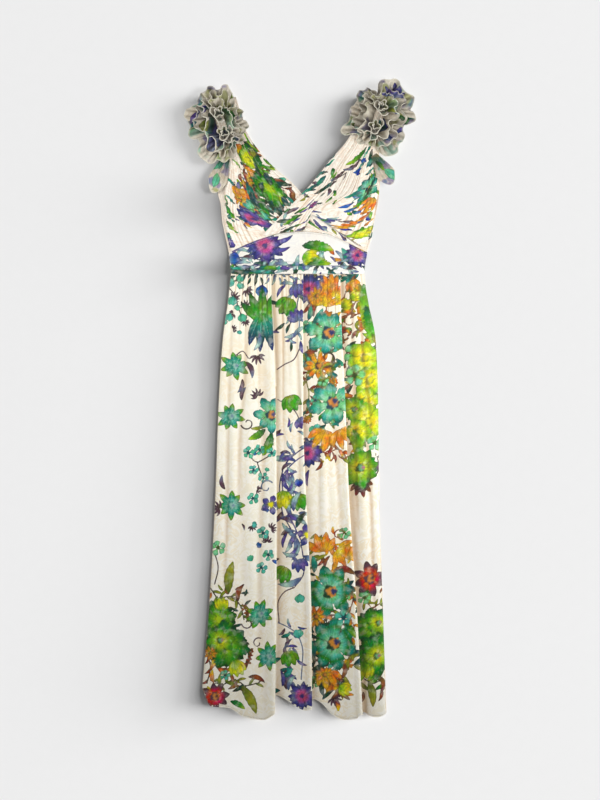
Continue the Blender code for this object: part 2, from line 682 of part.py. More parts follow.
def make_bodice():
    """Two pleated front panels, the right one over the left, and a flat back with a V neckline."""
    cloth_wall("bodice_front_left", panel_points(LEFT_PANEL, False), LEAF)
    cloth_wall("bodice_front_right", panel_points(RIGHT_PANEL, True), IVORY)
    y = column(OUTLINE_COLUMNS, OUTLINE, "y")[:-2]
    y[0] = SHOULDER_Y
    y[-1] = MIDRIFF_SIDE_Y + SEAM_GAP
    down_left, up_right = side_points(OUTLINE_COLUMNS, OUTLINE, "back_left", "back_right", y)
    neck_left = np.array(BACK_NECK)
    neck_right = neck_left[:-1] * (-1, 1)
    outline = np.concatenate([down_left, up_right, neck_right, neck_left[::-1]])
    flat_panel("bodice_back", outline, CREAM)


def make_rosettes():
    """A rosette on each shoulder: three flounces, two swirls and a trailing petal."""
    for rosette in ROSETTES:
        name = f"rosette_{rosette.side}"
        for flounce in FLOUNCES:
            points = flounce_points(rosette, flounce)
            cloth_wall(f"{name}_flounce_{flounce.name}", points, TAUPE, wraps=True)
        for swirl in SWIRLS:
            cloth_wall(f"{name}_swirl_{swirl.name}", swirl_points(rosette, swirl), TAUPE)
        cloth_wall(f"{name}_tail", tail_points(rosette), TAUPE)


def main():
    for thing in list(bpy.data.objects):
        bpy.data.objects.remove(thing)
    make_skirt()
    make_midriff()
    make_bodice()
    make_rosettes()


main()
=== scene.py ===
"""Looks of a sleeveless maxi dress that lies flat on its back.

Each piece of cloth is a thin shell on the form of its solid in the frame, worked out from the same
lines with many more points. Tables and lengths are in millimetres, and meshes are in metres. The
shoulders are towards +Y, the hem is towards -Y, and "left" and "right" are -X and +X.
"""

import json
import math
from collections import namedtuple

import bpy
import numpy as np
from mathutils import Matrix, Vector

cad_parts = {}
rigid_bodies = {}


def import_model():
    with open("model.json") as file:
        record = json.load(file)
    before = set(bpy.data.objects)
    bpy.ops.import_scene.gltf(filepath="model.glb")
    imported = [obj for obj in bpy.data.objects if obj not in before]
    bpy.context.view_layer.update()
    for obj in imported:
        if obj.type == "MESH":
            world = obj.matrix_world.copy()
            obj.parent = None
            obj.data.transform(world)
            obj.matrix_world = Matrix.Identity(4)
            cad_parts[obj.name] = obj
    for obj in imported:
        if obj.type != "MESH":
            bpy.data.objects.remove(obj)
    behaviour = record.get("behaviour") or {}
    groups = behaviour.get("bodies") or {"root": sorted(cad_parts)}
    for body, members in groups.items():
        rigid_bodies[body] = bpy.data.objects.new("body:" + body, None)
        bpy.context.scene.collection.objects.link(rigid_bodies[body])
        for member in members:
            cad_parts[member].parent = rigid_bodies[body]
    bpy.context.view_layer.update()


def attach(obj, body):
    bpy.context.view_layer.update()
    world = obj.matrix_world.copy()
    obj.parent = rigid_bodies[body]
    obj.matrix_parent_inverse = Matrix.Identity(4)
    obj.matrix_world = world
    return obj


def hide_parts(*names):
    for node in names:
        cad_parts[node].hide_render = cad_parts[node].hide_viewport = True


bl_info = {
    "name": "Maxi dress laid flat",
    "version": (1, 0, 0),
    "blender": (4, 5, 0),
    "location": "View3D > Sidebar > Maxi dress",
    "description": "Printed jacquard maxi dress with a pleated bodice and ruffled rosettes",
    "category": "Object",
}

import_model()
BODY = "root"
MM = 0.001


def by_name(names, *rows):
    """Columns of a table as arrays, by name."""
    return dict(zip(names.split(), np.array(rows, float).T))


# ---- Sizes and lines that the frame's solids are made on.

CAD_WALL = 1.2
SEAM_GAP = 0.3
EDGE_Z = CAD_WALL + SEAM_GAP + CAD_WALL / 2
FRONT_Z = 4.6
SIDE_ROUND = 14.0
CUP_RISE = 13.0
CUP_WIDTH = 45.0
CUP_HEIGHT = 50.0
CUPS = ((-110.0, 452.0), (105.0, 452.0))
CROSS_LIFT = 3.4
CROSS_MARGIN = 45.0
CROSS_EASE = 40.0
CROSS_SIDE_SHARE = 0.7
SHOULDER_Y = 697.0
MIDRIFF_SIDE_Y = 336.0
TUCKS_TOP_Y = 315.0
WAIST_Y = 288.5
OUTLINE = by_name(
    "y left right back_left back_right",
    (697.4, -212, 212, -212, 212),
    (655.7, -202.7, 202.7, -202.7, 202.7),
    (604.7, -188.8, 188.8, -188.8, 188.8),
    (570, -174.9, 180.7, -174.9, 180.7),
    (532.9, -166.8, 183, -174, 183),
    (505.1, -170.3, 186.5, -184, 186.5),
    (477.3, -175.1, 184.2, -189, 184.2),
    (449.5, -177.6, 177.3, -182.5, 177.3),
    (412.4, -174.3, 172.6, -179.3, 172.6),
    (377.7, -167.8, 168.3, -172.3, 168.3),
    (342.9, -162.3, 158.4, -164.8, 158.4),
    (315.1, -160.5, 152.8, -161, 152.8),
    (288.5, -158.2, 148.8, -158.2, 148.8),
)
SKIRT = by_name(
    "y left fold_1 fold_2 fold_3 right",
    (288.5, -158.2, -66, 8.1, 93.8, 148.8),
    (227.1, -164.7, -64.9, 8.1, 95, 158),
    (134.4, -177.4, -60.2, 7.6, 98.5, 176.2),
    (-4.6, -186.4, -55.6, 7.4, 105.4, 182),
    (-236.3, -194.9, -53.3, 15.1, 114.7, 184.2),
    (-468, -208, -53.3, 26.6, 130.9, 192.2),
    (-715, -229, -56.8, 29, 144.8, 200.4),
)
# Runs of the front skirt from line to line: share of the way, z at waist and hem, and the hem's y.
RUNS = (
    ("left", "fold_1", (
        (0.0, EDGE_Z, EDGE_Z, -668), (0.04, 4.0, 5.6, -684), (0.14, 4.4, 8.2, -712),
        (0.38, 4.5, 8.6, -716), (0.62, 4.8, 10.2, -738), (0.85, 5.4, 13.0, -743),
    )),
    ("fold_1", "fold_2", ((0.3, 2.9, 4.6, -698), (0.56, 4.2, 8.4, -712), (0.82, 5.4, 12.2, -721))),
    ("fold_2", "fold_3", (
        (0.17, 2.8, 4.4, -704), (0.42, 4.2, 8.0, -733), (0.66, 4.8, 10.6, -743), (0.87, 5.6, 13.4, -740),
    )),
    ("fold_3", "right", (
        (0.3, 3.8, 7.2, -735), (0.58, 4.6, 10.0, -737), (0.82, 4.4, 9.0, -735),
        (0.95, 3.6, 6.0, -731), (1.0, EDGE_Z, EDGE_Z, -728),
    )),
)
# Deep folds: the line; how far each tucks under, and its crest's z, at waist and hem; and the hem's
# y on its top and its lowest layer.
FOLDS = (
    ("fold_1", (16, 26), (6.6, 16.6), (-732, -688)),
    ("fold_2", (15, 22), (6.6, 15.6), (-719, -697)),
    ("fold_3", (15, 22), (6.6, 16.2), (-731, -727)),
)
FOLD_LOW = (2.4, 3.2)
# Beside the crest in turns of cloth and in depths of the fold, level, and share of the hem's drop.
FOLD_SECTION = (
    (-1.4, 0, 1.0, 0.0),
    (0.0, 0, 0.75, 0.05),
    (-1.4, 0, 0.5, 0.1),
    (1.4, -1, 0.5, 0.45),
    (0.0, -1, 0.25, 0.55),
    (1.4, -1, 0.0, 0.65),
    (1.2, 0, 0.0, 1.0),
)
TURN_SHARE = 0.25
# Gathers below the waist: x, height, half width, and reach as a share of the skirt.
GATHERS = (
    (-151, 1.2, 5.0, 0.3), (-138, 1.7, 5.5, 0.95), (-122, 1.9, 6.0, 0.45), (-109, 1.3, 5.0, 0.8),
    (-95, 1.9, 5.5, 0.4), (-80, 1.3, 5.0, 0.25), (-50, 1.7, 5.5, 0.5), (-36, 1.4, 5.0, 0.28),
    (-20, 1.8, 5.5, 0.38), (25, 1.5, 5.0, 0.3), (41, 1.9, 6.0, 0.55), (58, 1.4, 5.0, 0.3),
    (74, 1.8, 5.5, 0.42), (108, 1.5, 5.0, 0.35), (120, 1.7, 5.5, 0.6), (134, 1.4, 5.0, 0.3),
)
BACK_HEM = (
    (-225, -666), (-214, -682), (-190, -688), (-60, -686), (-20, -688), (24, -697), (60, -699),
    (180, -697), (199, -690),
)
# Pleat lines of the front panels, in rows from the shoulder down, each from its inner edge outwards.
LEFT_PANEL = (
    ((-147, 697), (-160, 697), (-173, 697), (-186, 697), (-199, 697), (-212, 697)),
    ((-124, 620), (-136, 616), (-148, 612), (-161, 609), (-175, 607), (-189, 605)),
    ((-75, 550), (-93, 543), (-112, 539), (-131, 535), (-149, 533), (-166, 533)),
    ((-15, 496), (-45, 482), (-78, 473), (-110, 468), (-142, 469), (-173, 477)),
    ((59, 410), (6, 417), (-43, 419), (-87, 417), (-131, 412), (-173, 412)),
    ((150, 342), (71, 376), (13, 384), (-45, 379), (-103, 362), (-159, 338)),
)
RIGHT_PANEL = (
    ((147, 697), (160, 697), (173, 697), (186, 697), (199, 697), (212, 697)),
    ((117, 607), (131, 605), (146, 603), (160, 602), (174, 603), (188, 604)),
    ((70, 549), (91, 544), (112, 539), (134, 534), (159, 532), (183, 533)),
    ((26, 494), (52, 484), (78, 476), (104, 471), (144, 470), (184, 477)),
    ((-22, 443), (6, 431), (34, 433), (52, 446), (112, 424), (173, 412)),
    ((-87, 375), (-38, 382), (10, 387), (24, 428), (89, 385), (152, 346)),
)
PLEATS = 10
PLEAT_DEPTH = 1.3
PLEAT_DROP = 1 / 3
ARCH = by_name(
    "x y", (-163, 336.5), (-96, 365), (-34, 381.5), (13, 384), (59, 379.5), (105, 361), (158, 336.5)
)
ARCH_GAP = 0.9
ARCH_FIT_POWER = 6
CREASE_DEPTH = 0.7
CREASES_ACROSS = 2
TUCKS = 3
TUCK_HEIGHT = 2.6
TUCK_BASE_Z = (7.4, 10.3)
TUCK_OVERHANG = 2.0
TUCK_SIDE_GAP = 0.6
BACK_NECK = ((-148, 697), (-131, 621), (-96, 540), (-50, 466), (1, 408))
BACK_CORNER = 0.8  # share of the back's outer edge that is its side

Rosette = namedtuple("Rosette", "side centre stem_turn lobes tail")
ROSETTES = (
    Rosette(
        "left", (-180.0, 630.0), 107.0,
        (
            (-40, 57), (-20, 58), (2, 56), (30, 56), (54, 52), (68, 70), (80, 90), (94, 88),
            (110, 92), (122, 84), (134, 78), (148, 84), (163, 86), (178, 80), (206, 70), (220, 74),
            (238, 86), (249, 95), (264, 88), (284, 78), (302, 67),
        ),
        ((-167.0, 562.0), (-200.5, 474.0)),
    ),
    Rosette(
        "right", (181.0, 645.0), 72.0,
        (
            (-34, 69), (-16, 71), (4, 82), (14, 82), (27, 96), (42, 87), (56, 98), (72, 95),
            (84, 86), (97, 60), (112, 75), (136, 70), (160, 64), (184, 72), (203, 83), (220, 70),
            (249, 66), (268, 69), (283, 88), (300, 90), (313, 81),
        ),
        ((172.0, 562.0), (214.0, 494.0)),
    ),
)
ROSETTE_BASE_Z = 7.5
STEM_HALF = 26.0
STEM_RADIUS = 11.0
STEM_CORNER = 2.5
# The last columns are the finer form: the depth of its ruffles, the height and the number of the
# gathers at the foot, and strips and rows of mesh.
Flounce = namedtuple(
    "Flounce", "name share base_z edge_z waves sway ruffle gather gathers strips rows"
)
FLOUNCES = (
    Flounce("outer", 1.0, ROSETTE_BASE_Z, 14.0, 9, 3.0, 4.4, 1.5, 40, 560, 26),
    Flounce("middle", 0.66, 9.1, 26.0, 8, 5.0, 8.8, 1.6, 30, 520, 24),
    Flounce("inner", 0.38, 11.3, 36.0, 7, 4.0, 6.6, 1.4, 22, 420, 20),
)
# Ruffles of a flounce: how many to each wave, how far they swing out, aside and up as shares of its
# ruffle, how far they lie towards the edge as a power, their drift, and where they start.
RUFFLES = (
    (1.4, 1.0, 0.36, 0.5, 1.2, 2.3, 0.4),
    (0.7, 0.4, 0.0, 0.6, 1.0, 1.2, 1.2),
    (3.1, 0.22, 0.08, 0.2, 1.8, 3.1, 4.0),
)
WAVE_DRIFT = 0.6
SWIRLS = (("upper", 24.0, 0.4), ("lower", -24.0, 2.2))  # name, place along the stem, first angle
SWIRL_TURNS = 1.8
SWIRL_BASE_RADIUS = (2.4, 7.0)
SWIRL_TOP_RADIUS = (4.5, 18.5)
SWIRL_TOP_Z = (46.0, 39.0)
SWIRL_WAVES = 7.3
SWIRL_WAVE = 4.4
SWIRL_INNER_WAVE_SHARE = 0.3
SWIRL_WAVE_SPACING = 0.8
SWIRL_FLARE = 1.3
TAIL_SPREAD = 22.0
TAIL_BASE_WIDTH = 7.0
TAIL_BASE_Z = 7.3
TAIL_TIP_Z = 8.0
TAIL_WAVE = 1.2
TAIL_ROUND = 0.32

# ---- Fineness of the meshes, and the soft forms that they add.

SKIRT_ROWS = 368
SKIRT_SPACING = 2.5
SKIRT_HIDDEN_SPACING = 5.0
SKIRT_INNER_ROWS = 16
SKIRT_BACK_STRIPS = 96
SKIRT_BACK_ROWS = 240
PANEL_ROWS = 184
PANEL_INNER_ROWS = 4
STRIPS_A_PLEAT = 14
MIDRIFF_STRIPS = 150
CREASE_ROWS = 22
ROWS_A_TUCK = 10
BACK_STRIPS = 40
BACK_ROWS = 120
SWIRL_STRIPS = 260
SWIRL_ROWS = 14
TAIL_STRIPS = 72
TAIL_ROWS = 60
PLEAT_HIDDEN = 5.5
TUCK_HIDDEN = 9.0
SHARP_ANGLE = 65.0  # degrees between faces that don't look smooth
# Flat cloth over what the surface shows.
MIDRIFF_CUT = 1.2
PANEL_CUT = 1.3

# Troughs and ridges down the skirt: x and y where each starts and ends, its height and half width.
SKIRT_CREASES = (
    (-148, 270, -182, -560, -1.7, 7), (-136, 240, -165, -420, 1.3, 8), (-120, 282, -140, -250, -1.5, 6),
    (-104, 200, -118, -700, 1.6, 13), (-92, 284, -98, -60, -1.2, 5.5), (-82, 120, -92, -640, -1.4, 9),
    (-70, 250, -72, -380, 1.1, 7), (-44, 280, -30, -200, -1.0, 5), (-28, 160, -22, -700, 1.2, 9),
    (-8, 270, 4, -330, -1.1, 6), (36, 284, 52, -420, -1.3, 6), (52, 120, 74, -700, 1.5, 11),
    (70, 280, 88, -260, -1.2, 6), (84, 60, 112, -690, -1.3, 9), (112, 284, 140, -330, -1.2, 6),
    (126, 200, 170, -690, 1.3, 9), (140, 270, 166, -120, -1.1, 5), (150, 0, 186, -640, -1.2, 7),
)
CREASE_SWAY = 3.0
CREASE_STRENGTH = 1.25
FINE_GATHERS = 44
FINE_GATHER_SPAN = (-152.0, 144.0)
FINE_GATHER_HEIGHT = 1.35
FINE_GATHER_HALF_WIDTH = 1.9
GOLDEN_RATIO = 0.6180339887
RIPPLE = 0.45
# Painted shade in the hollows of the cloth: points to each side that count as beside, and the depth that
# gets full shade.
PAINTED_SHADE_REACHES = ((2, 0.48), (7, 2.3))
# Width of the painted shade beside each deep fold of the skirt.
FOLD_SHADE_WIDTH = 12.0

# ---- Stage, in metres and degrees.

FLOOR_HALF = 6.0
SENSOR_WIDTH = 36.0
# Softboxes for the dress: name, share of its light, place and size.
SOFTBOXES = (
    ("overhead", 0.14, (0.05, 0.38, 1.08), (0.9, 0.9)),
    ("left", 0.34, (-1.09, 0.58, 0.64), (0.4, 0.7)),
    ("right", 0.39, (0.92, 0.08, 0.54), (0.4, 0.7)),
)
# Far, broad lights for the floor: name, strength, height and tallness, and the pieces that they
# pass through, whose shadows would run far.
FLOOR_LIGHTS = (
    ("grazing", 6.0, 2.4, 2.2, ("rosette",)),
    ("skimming", 6.0, 2.4, 2.2, ("rosette", "bodice")),
    ("lowest", 7.5, 4.6, 3.4, ("rosette",)),
    ("lower", 4.2, 8.0, 5.4, ("rosette",)),
    ("low", 1.9, 13.0, 7.0, ("rosette",)),
    ("high", 2.0, 23.0, 16.0, ()),
)
FLOOR_LIGHT_TURN = 3.0
FLOOR_LIGHT_BREADTH = 26.0
FLOOR_LIGHT_REACH = 150.0
# Watts of an area light for each watt that would fall on a square metre, metre for metre of reach.
AREA_LIGHT_FACTOR = math.pi

# ---- The print: what is drawn, and where. Inks run from the foot of a petal or leaf to its tip.

FAR = 60.0  # distance from bare cloth to any print
FINEST_LINE = 2.8  # narrowest line that the meshes hold
SOFT_EDGE = 3.2  # between two colours of one layer
STITCH_LINE = 3.0  # from a sewn edge
STITCH_PITCH = 2.8
SPREAD_ACROSS = 0.7548777  # steps of a scatter
SPREAD_DOWN = 0.5698403
SPREAD_TURN = 137.5
ROSETTE_WASHES = ("sea", "olive", "violet", "teal")

Flower = namedtuple("Flower", "petals width fullness start inks line eye teeth under", defaults=(0, None))
Spray = namedtuple("Spray", "petals spread width fullness bend inks line")
Leaf = namedtuple("Leaf", "width fullness bend inks line teeth", defaults=(0,))
FLOWERS = {
    "sea_star": Flower(
        8, 0.44, 0.9, 0.08, "mist sea teal leaf olive", "mist",
        (("teal", 0.26), ("mist", 0.19), ("slate", 0.1)),
    ),
    "floret": Flower(5, 0.78, 2.0, 0.05, "teal sea sea", None, (("deep_teal", 0.24),)),
    "mint_floret": Flower(5, 0.8, 2.0, 0.05, "leaf mint mint", None, (("moss", 0.24),)),
    "lagoon": Flower(
        7, 0.52, 1.4, 0.06, "lime mint mint sea teal deep_teal", "mist",
        (("deep_teal", 0.27), ("orange", 0.21), ("indigo", 0.12)), 3, None,
    ),
    "lagoon_dark": Flower(
        7, 0.54, 1.3, 0.06, "lime mint sea green teal forest", "mist",
        (("forest", 0.25), ("orange", 0.2), ("indigo", 0.12)), 3, None,
    ),
    "lime": Flower(
        6, 0.72, 1.5, 0.04, "yellow yellow lime leaf", "leaf",
        (("olive", 0.22), ("yellow", 0.16)), 0, "lime",
    ),
    "meadow": Flower(
        8, 0.52, 1.1, 0.06, "yellow lime leaf green", "moss",
        (("moss", 0.2), ("mint", 0.15), ("rose", 0.08)), 0, "green",
    ),
    "fern": Flower(7, 0.56, 1.2, 0.02, "lime leaf green forest", "lime", (("lime", 0.16),), 7, "forest"),
    "dusk": Flower(
        8, 0.4, 1.0, 0.04, "rose rose violet indigo indigo", "indigo", (("indigo", 0.13),), 0, "indigo"
    ),
    "ember": Flower(
        8, 0.46, 1.1, 0.1, "orange red plum bark", "bark",
        (("plum", 0.28), ("orange", 0.21), ("bark", 0.11)),
    ),
    "marigold": Flower(
        10, 0.34, 1.4, 0.1, "yellow orange amber", "bark", (("bark", 0.24), ("orange", 0.17)),
    ),
    "iris": Flower(5, 0.6, 1.4, 0.06, "olive violet indigo", "indigo", (("yellow", 0.24),)),
}
SPRAYS = {
    "bell": Spray(4, 74, 0.46, 0.9, 0.1, "olive leaf leaf green", "moss"),
    "tulip": Spray(4, 62, 0.44, 1.0, 0.06, "leaf lime yellow lime", "green"),
    "lily": Spray(5, 118, 0.3, 1.0, 0.35, "yellow orange amber", "bark"),
    "palm": Spray(5, 96, 0.27, 0.9, 0.14, "mint leaf green forest", "forest"),
    "fin": Spray(4, 56, 0.23, 0.9, 0.2, "leaf teal deep_teal indigo", "mist"),
    "bluebell": Spray(4, 84, 0.4, 1.0, 0.22, "slate violet indigo", "indigo"),
    "bud": Spray(2, 26, 0.7, 1.3, 0.05, "teal sea sea", None),
    "blue_bud": Spray(2, 22, 0.66, 1.2, 0.05, "indigo blue slate", None),
    "husk": Spray(5, 130, 0.32, 1.1, 0.4, "plum bark rust", "bark"),
    "thistle": Spray(6, 150, 0.22, 1.0, 0.5, "bark plum plum", None),
    "flame": Spray(4, 90, 0.34, 1.1, 0.45, "amber orange amber", "rust"),
}
LEAVES = {
    "green": Leaf(0.34, 0.9, 0.25, "forest green leaf lime", "forest", 9),
    "long_green": Leaf(0.3, 0.9, 0.2, "green leaf lime leaf", "moss"),
    "teal": Leaf(0.36, 0.9, -0.25, "deep_teal teal sea", "deep_teal"),
    "dark": Leaf(0.3, 0.9, 0.3, "deep_teal forest bark", None),
    "forest": Leaf(0.5, 1.2, 0.1, "forest deep_teal moss", None),
    "olive": Leaf(0.3, 0.9, 0.22, "moss olive olive", "moss"),
    "slate": Leaf(0.26, 0.8, 0.55, "indigo slate mist slate", "indigo"),
    "indigo": Leaf(0.24, 0.8, -0.5, "indigo violet indigo", None),
    "brown": Leaf(0.28, 0.8, 0.6, "bark rust bark", None),
    "plum": Leaf(0.3, 0.8, 0.6, "bark plum slate", None),
    "blue": Leaf(0.4, 0.9, 0.2, "indigo blue blue", "indigo"),
    "pale": Leaf(0.52, 1.0, 0.2, "mint sea mint", "green"),
    "amber": Leaf(0.36, 0.9, 0.4, "rust orange yellow", "rust"),
}
# A scatter spreads small motifs over a box: styles in turn, the box in x and y, how many, their size
# and the first turn. A vine is a stem: its ink and width, its places, and the style, size and number
# of its leaves if it has any. A motif is a style, a place, a size and a turn in degrees from +X.
SKIRT_SCATTERS = (
    ("slate indigo plum slate", (-48, 4), (-60, -400), 34, 32, 60),
    ("bud blue_bud thistle", (-110, -66), (-110, -400), 12, 15, 20),
    ("slate indigo dark", (-48, 4), (120, 276), 18, 30, 250),
    ("slate plum teal indigo", (-46, 4), (-520, -690), 22, 30, 90),
    ("amber olive brown amber", (16, 88), (160, 282), 34, 30, 110),
    ("olive green brown teal", (12, 96), (-60, 190), 84, 28, 40),
    ("mint_floret marigold floret", (14, 96), (-110, 190), 12, 13, 0),
    ("olive amber brown long_green", (104, 178), (-120, 240), 60, 28, 200),
    ("olive brown dark forest", (30, 130), (-420, -690), 64, 30, 60),
    ("mint_floret floret marigold", (30, 130), (-400, -680), 12, 13, 0),
    ("amber brown olive", (16, 92), (20, 120), 18, 24, 200),
    ("olive brown green amber", (100, 160), (130, 282), 26, 24, 60),
    ("olive brown dark plum", (108, 176), (-100, 130), 30, 24, 300),
    ("amber brown olive", (26, 112), (-90, -150), 18, 24, 250),
    ("amber brown olive amber", (28, 124), (-310, -400), 24, 26, 80),
    ("brown amber dark olive", (28, 130), (-400, -700), 60, 26, 10),
    ("brown olive green", (146, 194), (-440, -700), 34, 26, 150),
    ("brown olive amber dark", (-214, -118), (-440, -690), 52, 26, 100),
    ("bud thistle", (-168, -112), (150, 280), 12, 17, 240),
    ("indigo slate dark teal", (-150, 140), (276, 286), 46, 22, 270),
)
SKIRT_VINES = (
    ("bark", 2.2, ((-170, 262), (-150, 238), (-140, 205), (-128, 178))),
    ("plum", 2.4, ((-118, 92), (-132, 108), (-150, 96))),
    ("bark", 2.0, ((-120, -128), (-98, -148), (-80, -140), (-62, -128))),
    ("bark", 2.0, ((-98, -148), (-88, -178))),
    ("indigo", 3.2, (
        (16, -92), (-8, -128), (-36, -160), (-46, -206), (-40, -262), (-18, -306), (6, -350),
        (10, -402), (-12, -438),
    ), "slate", 58, 8),
    ("violet", 2.6, (
        (14, -110), (-14, -150), (-40, -188), (-34, -246), (-14, -292), (4, -330),
    ), "indigo", 40, 6),
    ("plum", 2.4, ((-12, -438), (-34, -448), (-50, -476), (-47, -520))),
    ("slate", 2.4, ((-50, -520), (-26, -530), (-4, -548), (8, -590), (4, -650))),
    ("plum", 2.2, ((-52, 66), (-34, 78), (-14, 88), (2, 118))),
    ("plum", 2.2, ((-50, -4), (-30, -14), (-8, -34), (6, -70))),
    ("slate", 3.0, ((2, 252), (-6, 206), (0, 170), (-12, 140)), "slate", 34, 4),
    ("rust", 2.2, ((34, 270), (52, 236), (62, 206), (56, 176))),
    ("rust", 2.4, ((118, 268), (104, 232), (110, 196), (98, 168), (104, 128)), "amber", 26, 6),
    ("olive", 2.4, ((18, 120), (24, 84), (16, 46), (22, 6), (14, -36)), "olive", 24, 7),
    ("bark", 3.0, ((112, 122), (106, 84), (116, 44), (108, 6), (114, -34)), "brown", 26, 6),
    ("rust", 2.4, ((36, -112), (62, -128), (88, -118), (108, -136)), "amber", 24, 5),
    ("rust", 2.4, ((48, -318), (74, -352), (102, -346), (122, -372)), "amber", 22, 6),
    ("rust", 2.6, (
        (118, -430), (124, -462), (116, -498), (126, -532), (116, -566), (122, -606),
    ), "amber", 20, 12),
    ("forest", 3.0, (
        (36, -420), (30, -462), (38, -500), (30, -540), (38, -582), (32, -624),
    ), "dark", 24, 10),
    ("bark", 3.0, (
        (-206, -440), (-186, -462), (-160, -458), (-136, -482), (-128, -512),
    ), "olive", 24, 9),
    ("bark", 2.6, (
        (-212, -500), (-206, -540), (-214, -580), (-206, -622), (-214, -660),
    ), "brown", 20, 12),
    ("bark", 3.0, (
        (-206, -652), (-178, -662), (-150, -650), (-122, -664), (-92, -656),
    ), "olive", 22, 8),
    ("rust", 2.4, ((152, -470), (170, -484), (188, -474), (196, -500)), "olive", 20, 6),
    ("bark", 2.6, ((150, -650), (168, -660), (188, -652), (196, -672)), "olive", 20, 6),
    ("bark", 2.6, ((176, -128), (184, -160), (172, -182), (160, -178)), "plum", 24, 5),
    ("olive", 2.2, ((172, 60), (178, 24), (170, -14), (180, -50), (174, -92)), "olive", 18, 8),
    ("bark", 2.2, ((-196, -358), (-188, -392), (-196, -430))),
    ("rust", 2.2, ((48, -640), (66, -668), (92, -676), (116, -694)), "amber", 20, 5),
)
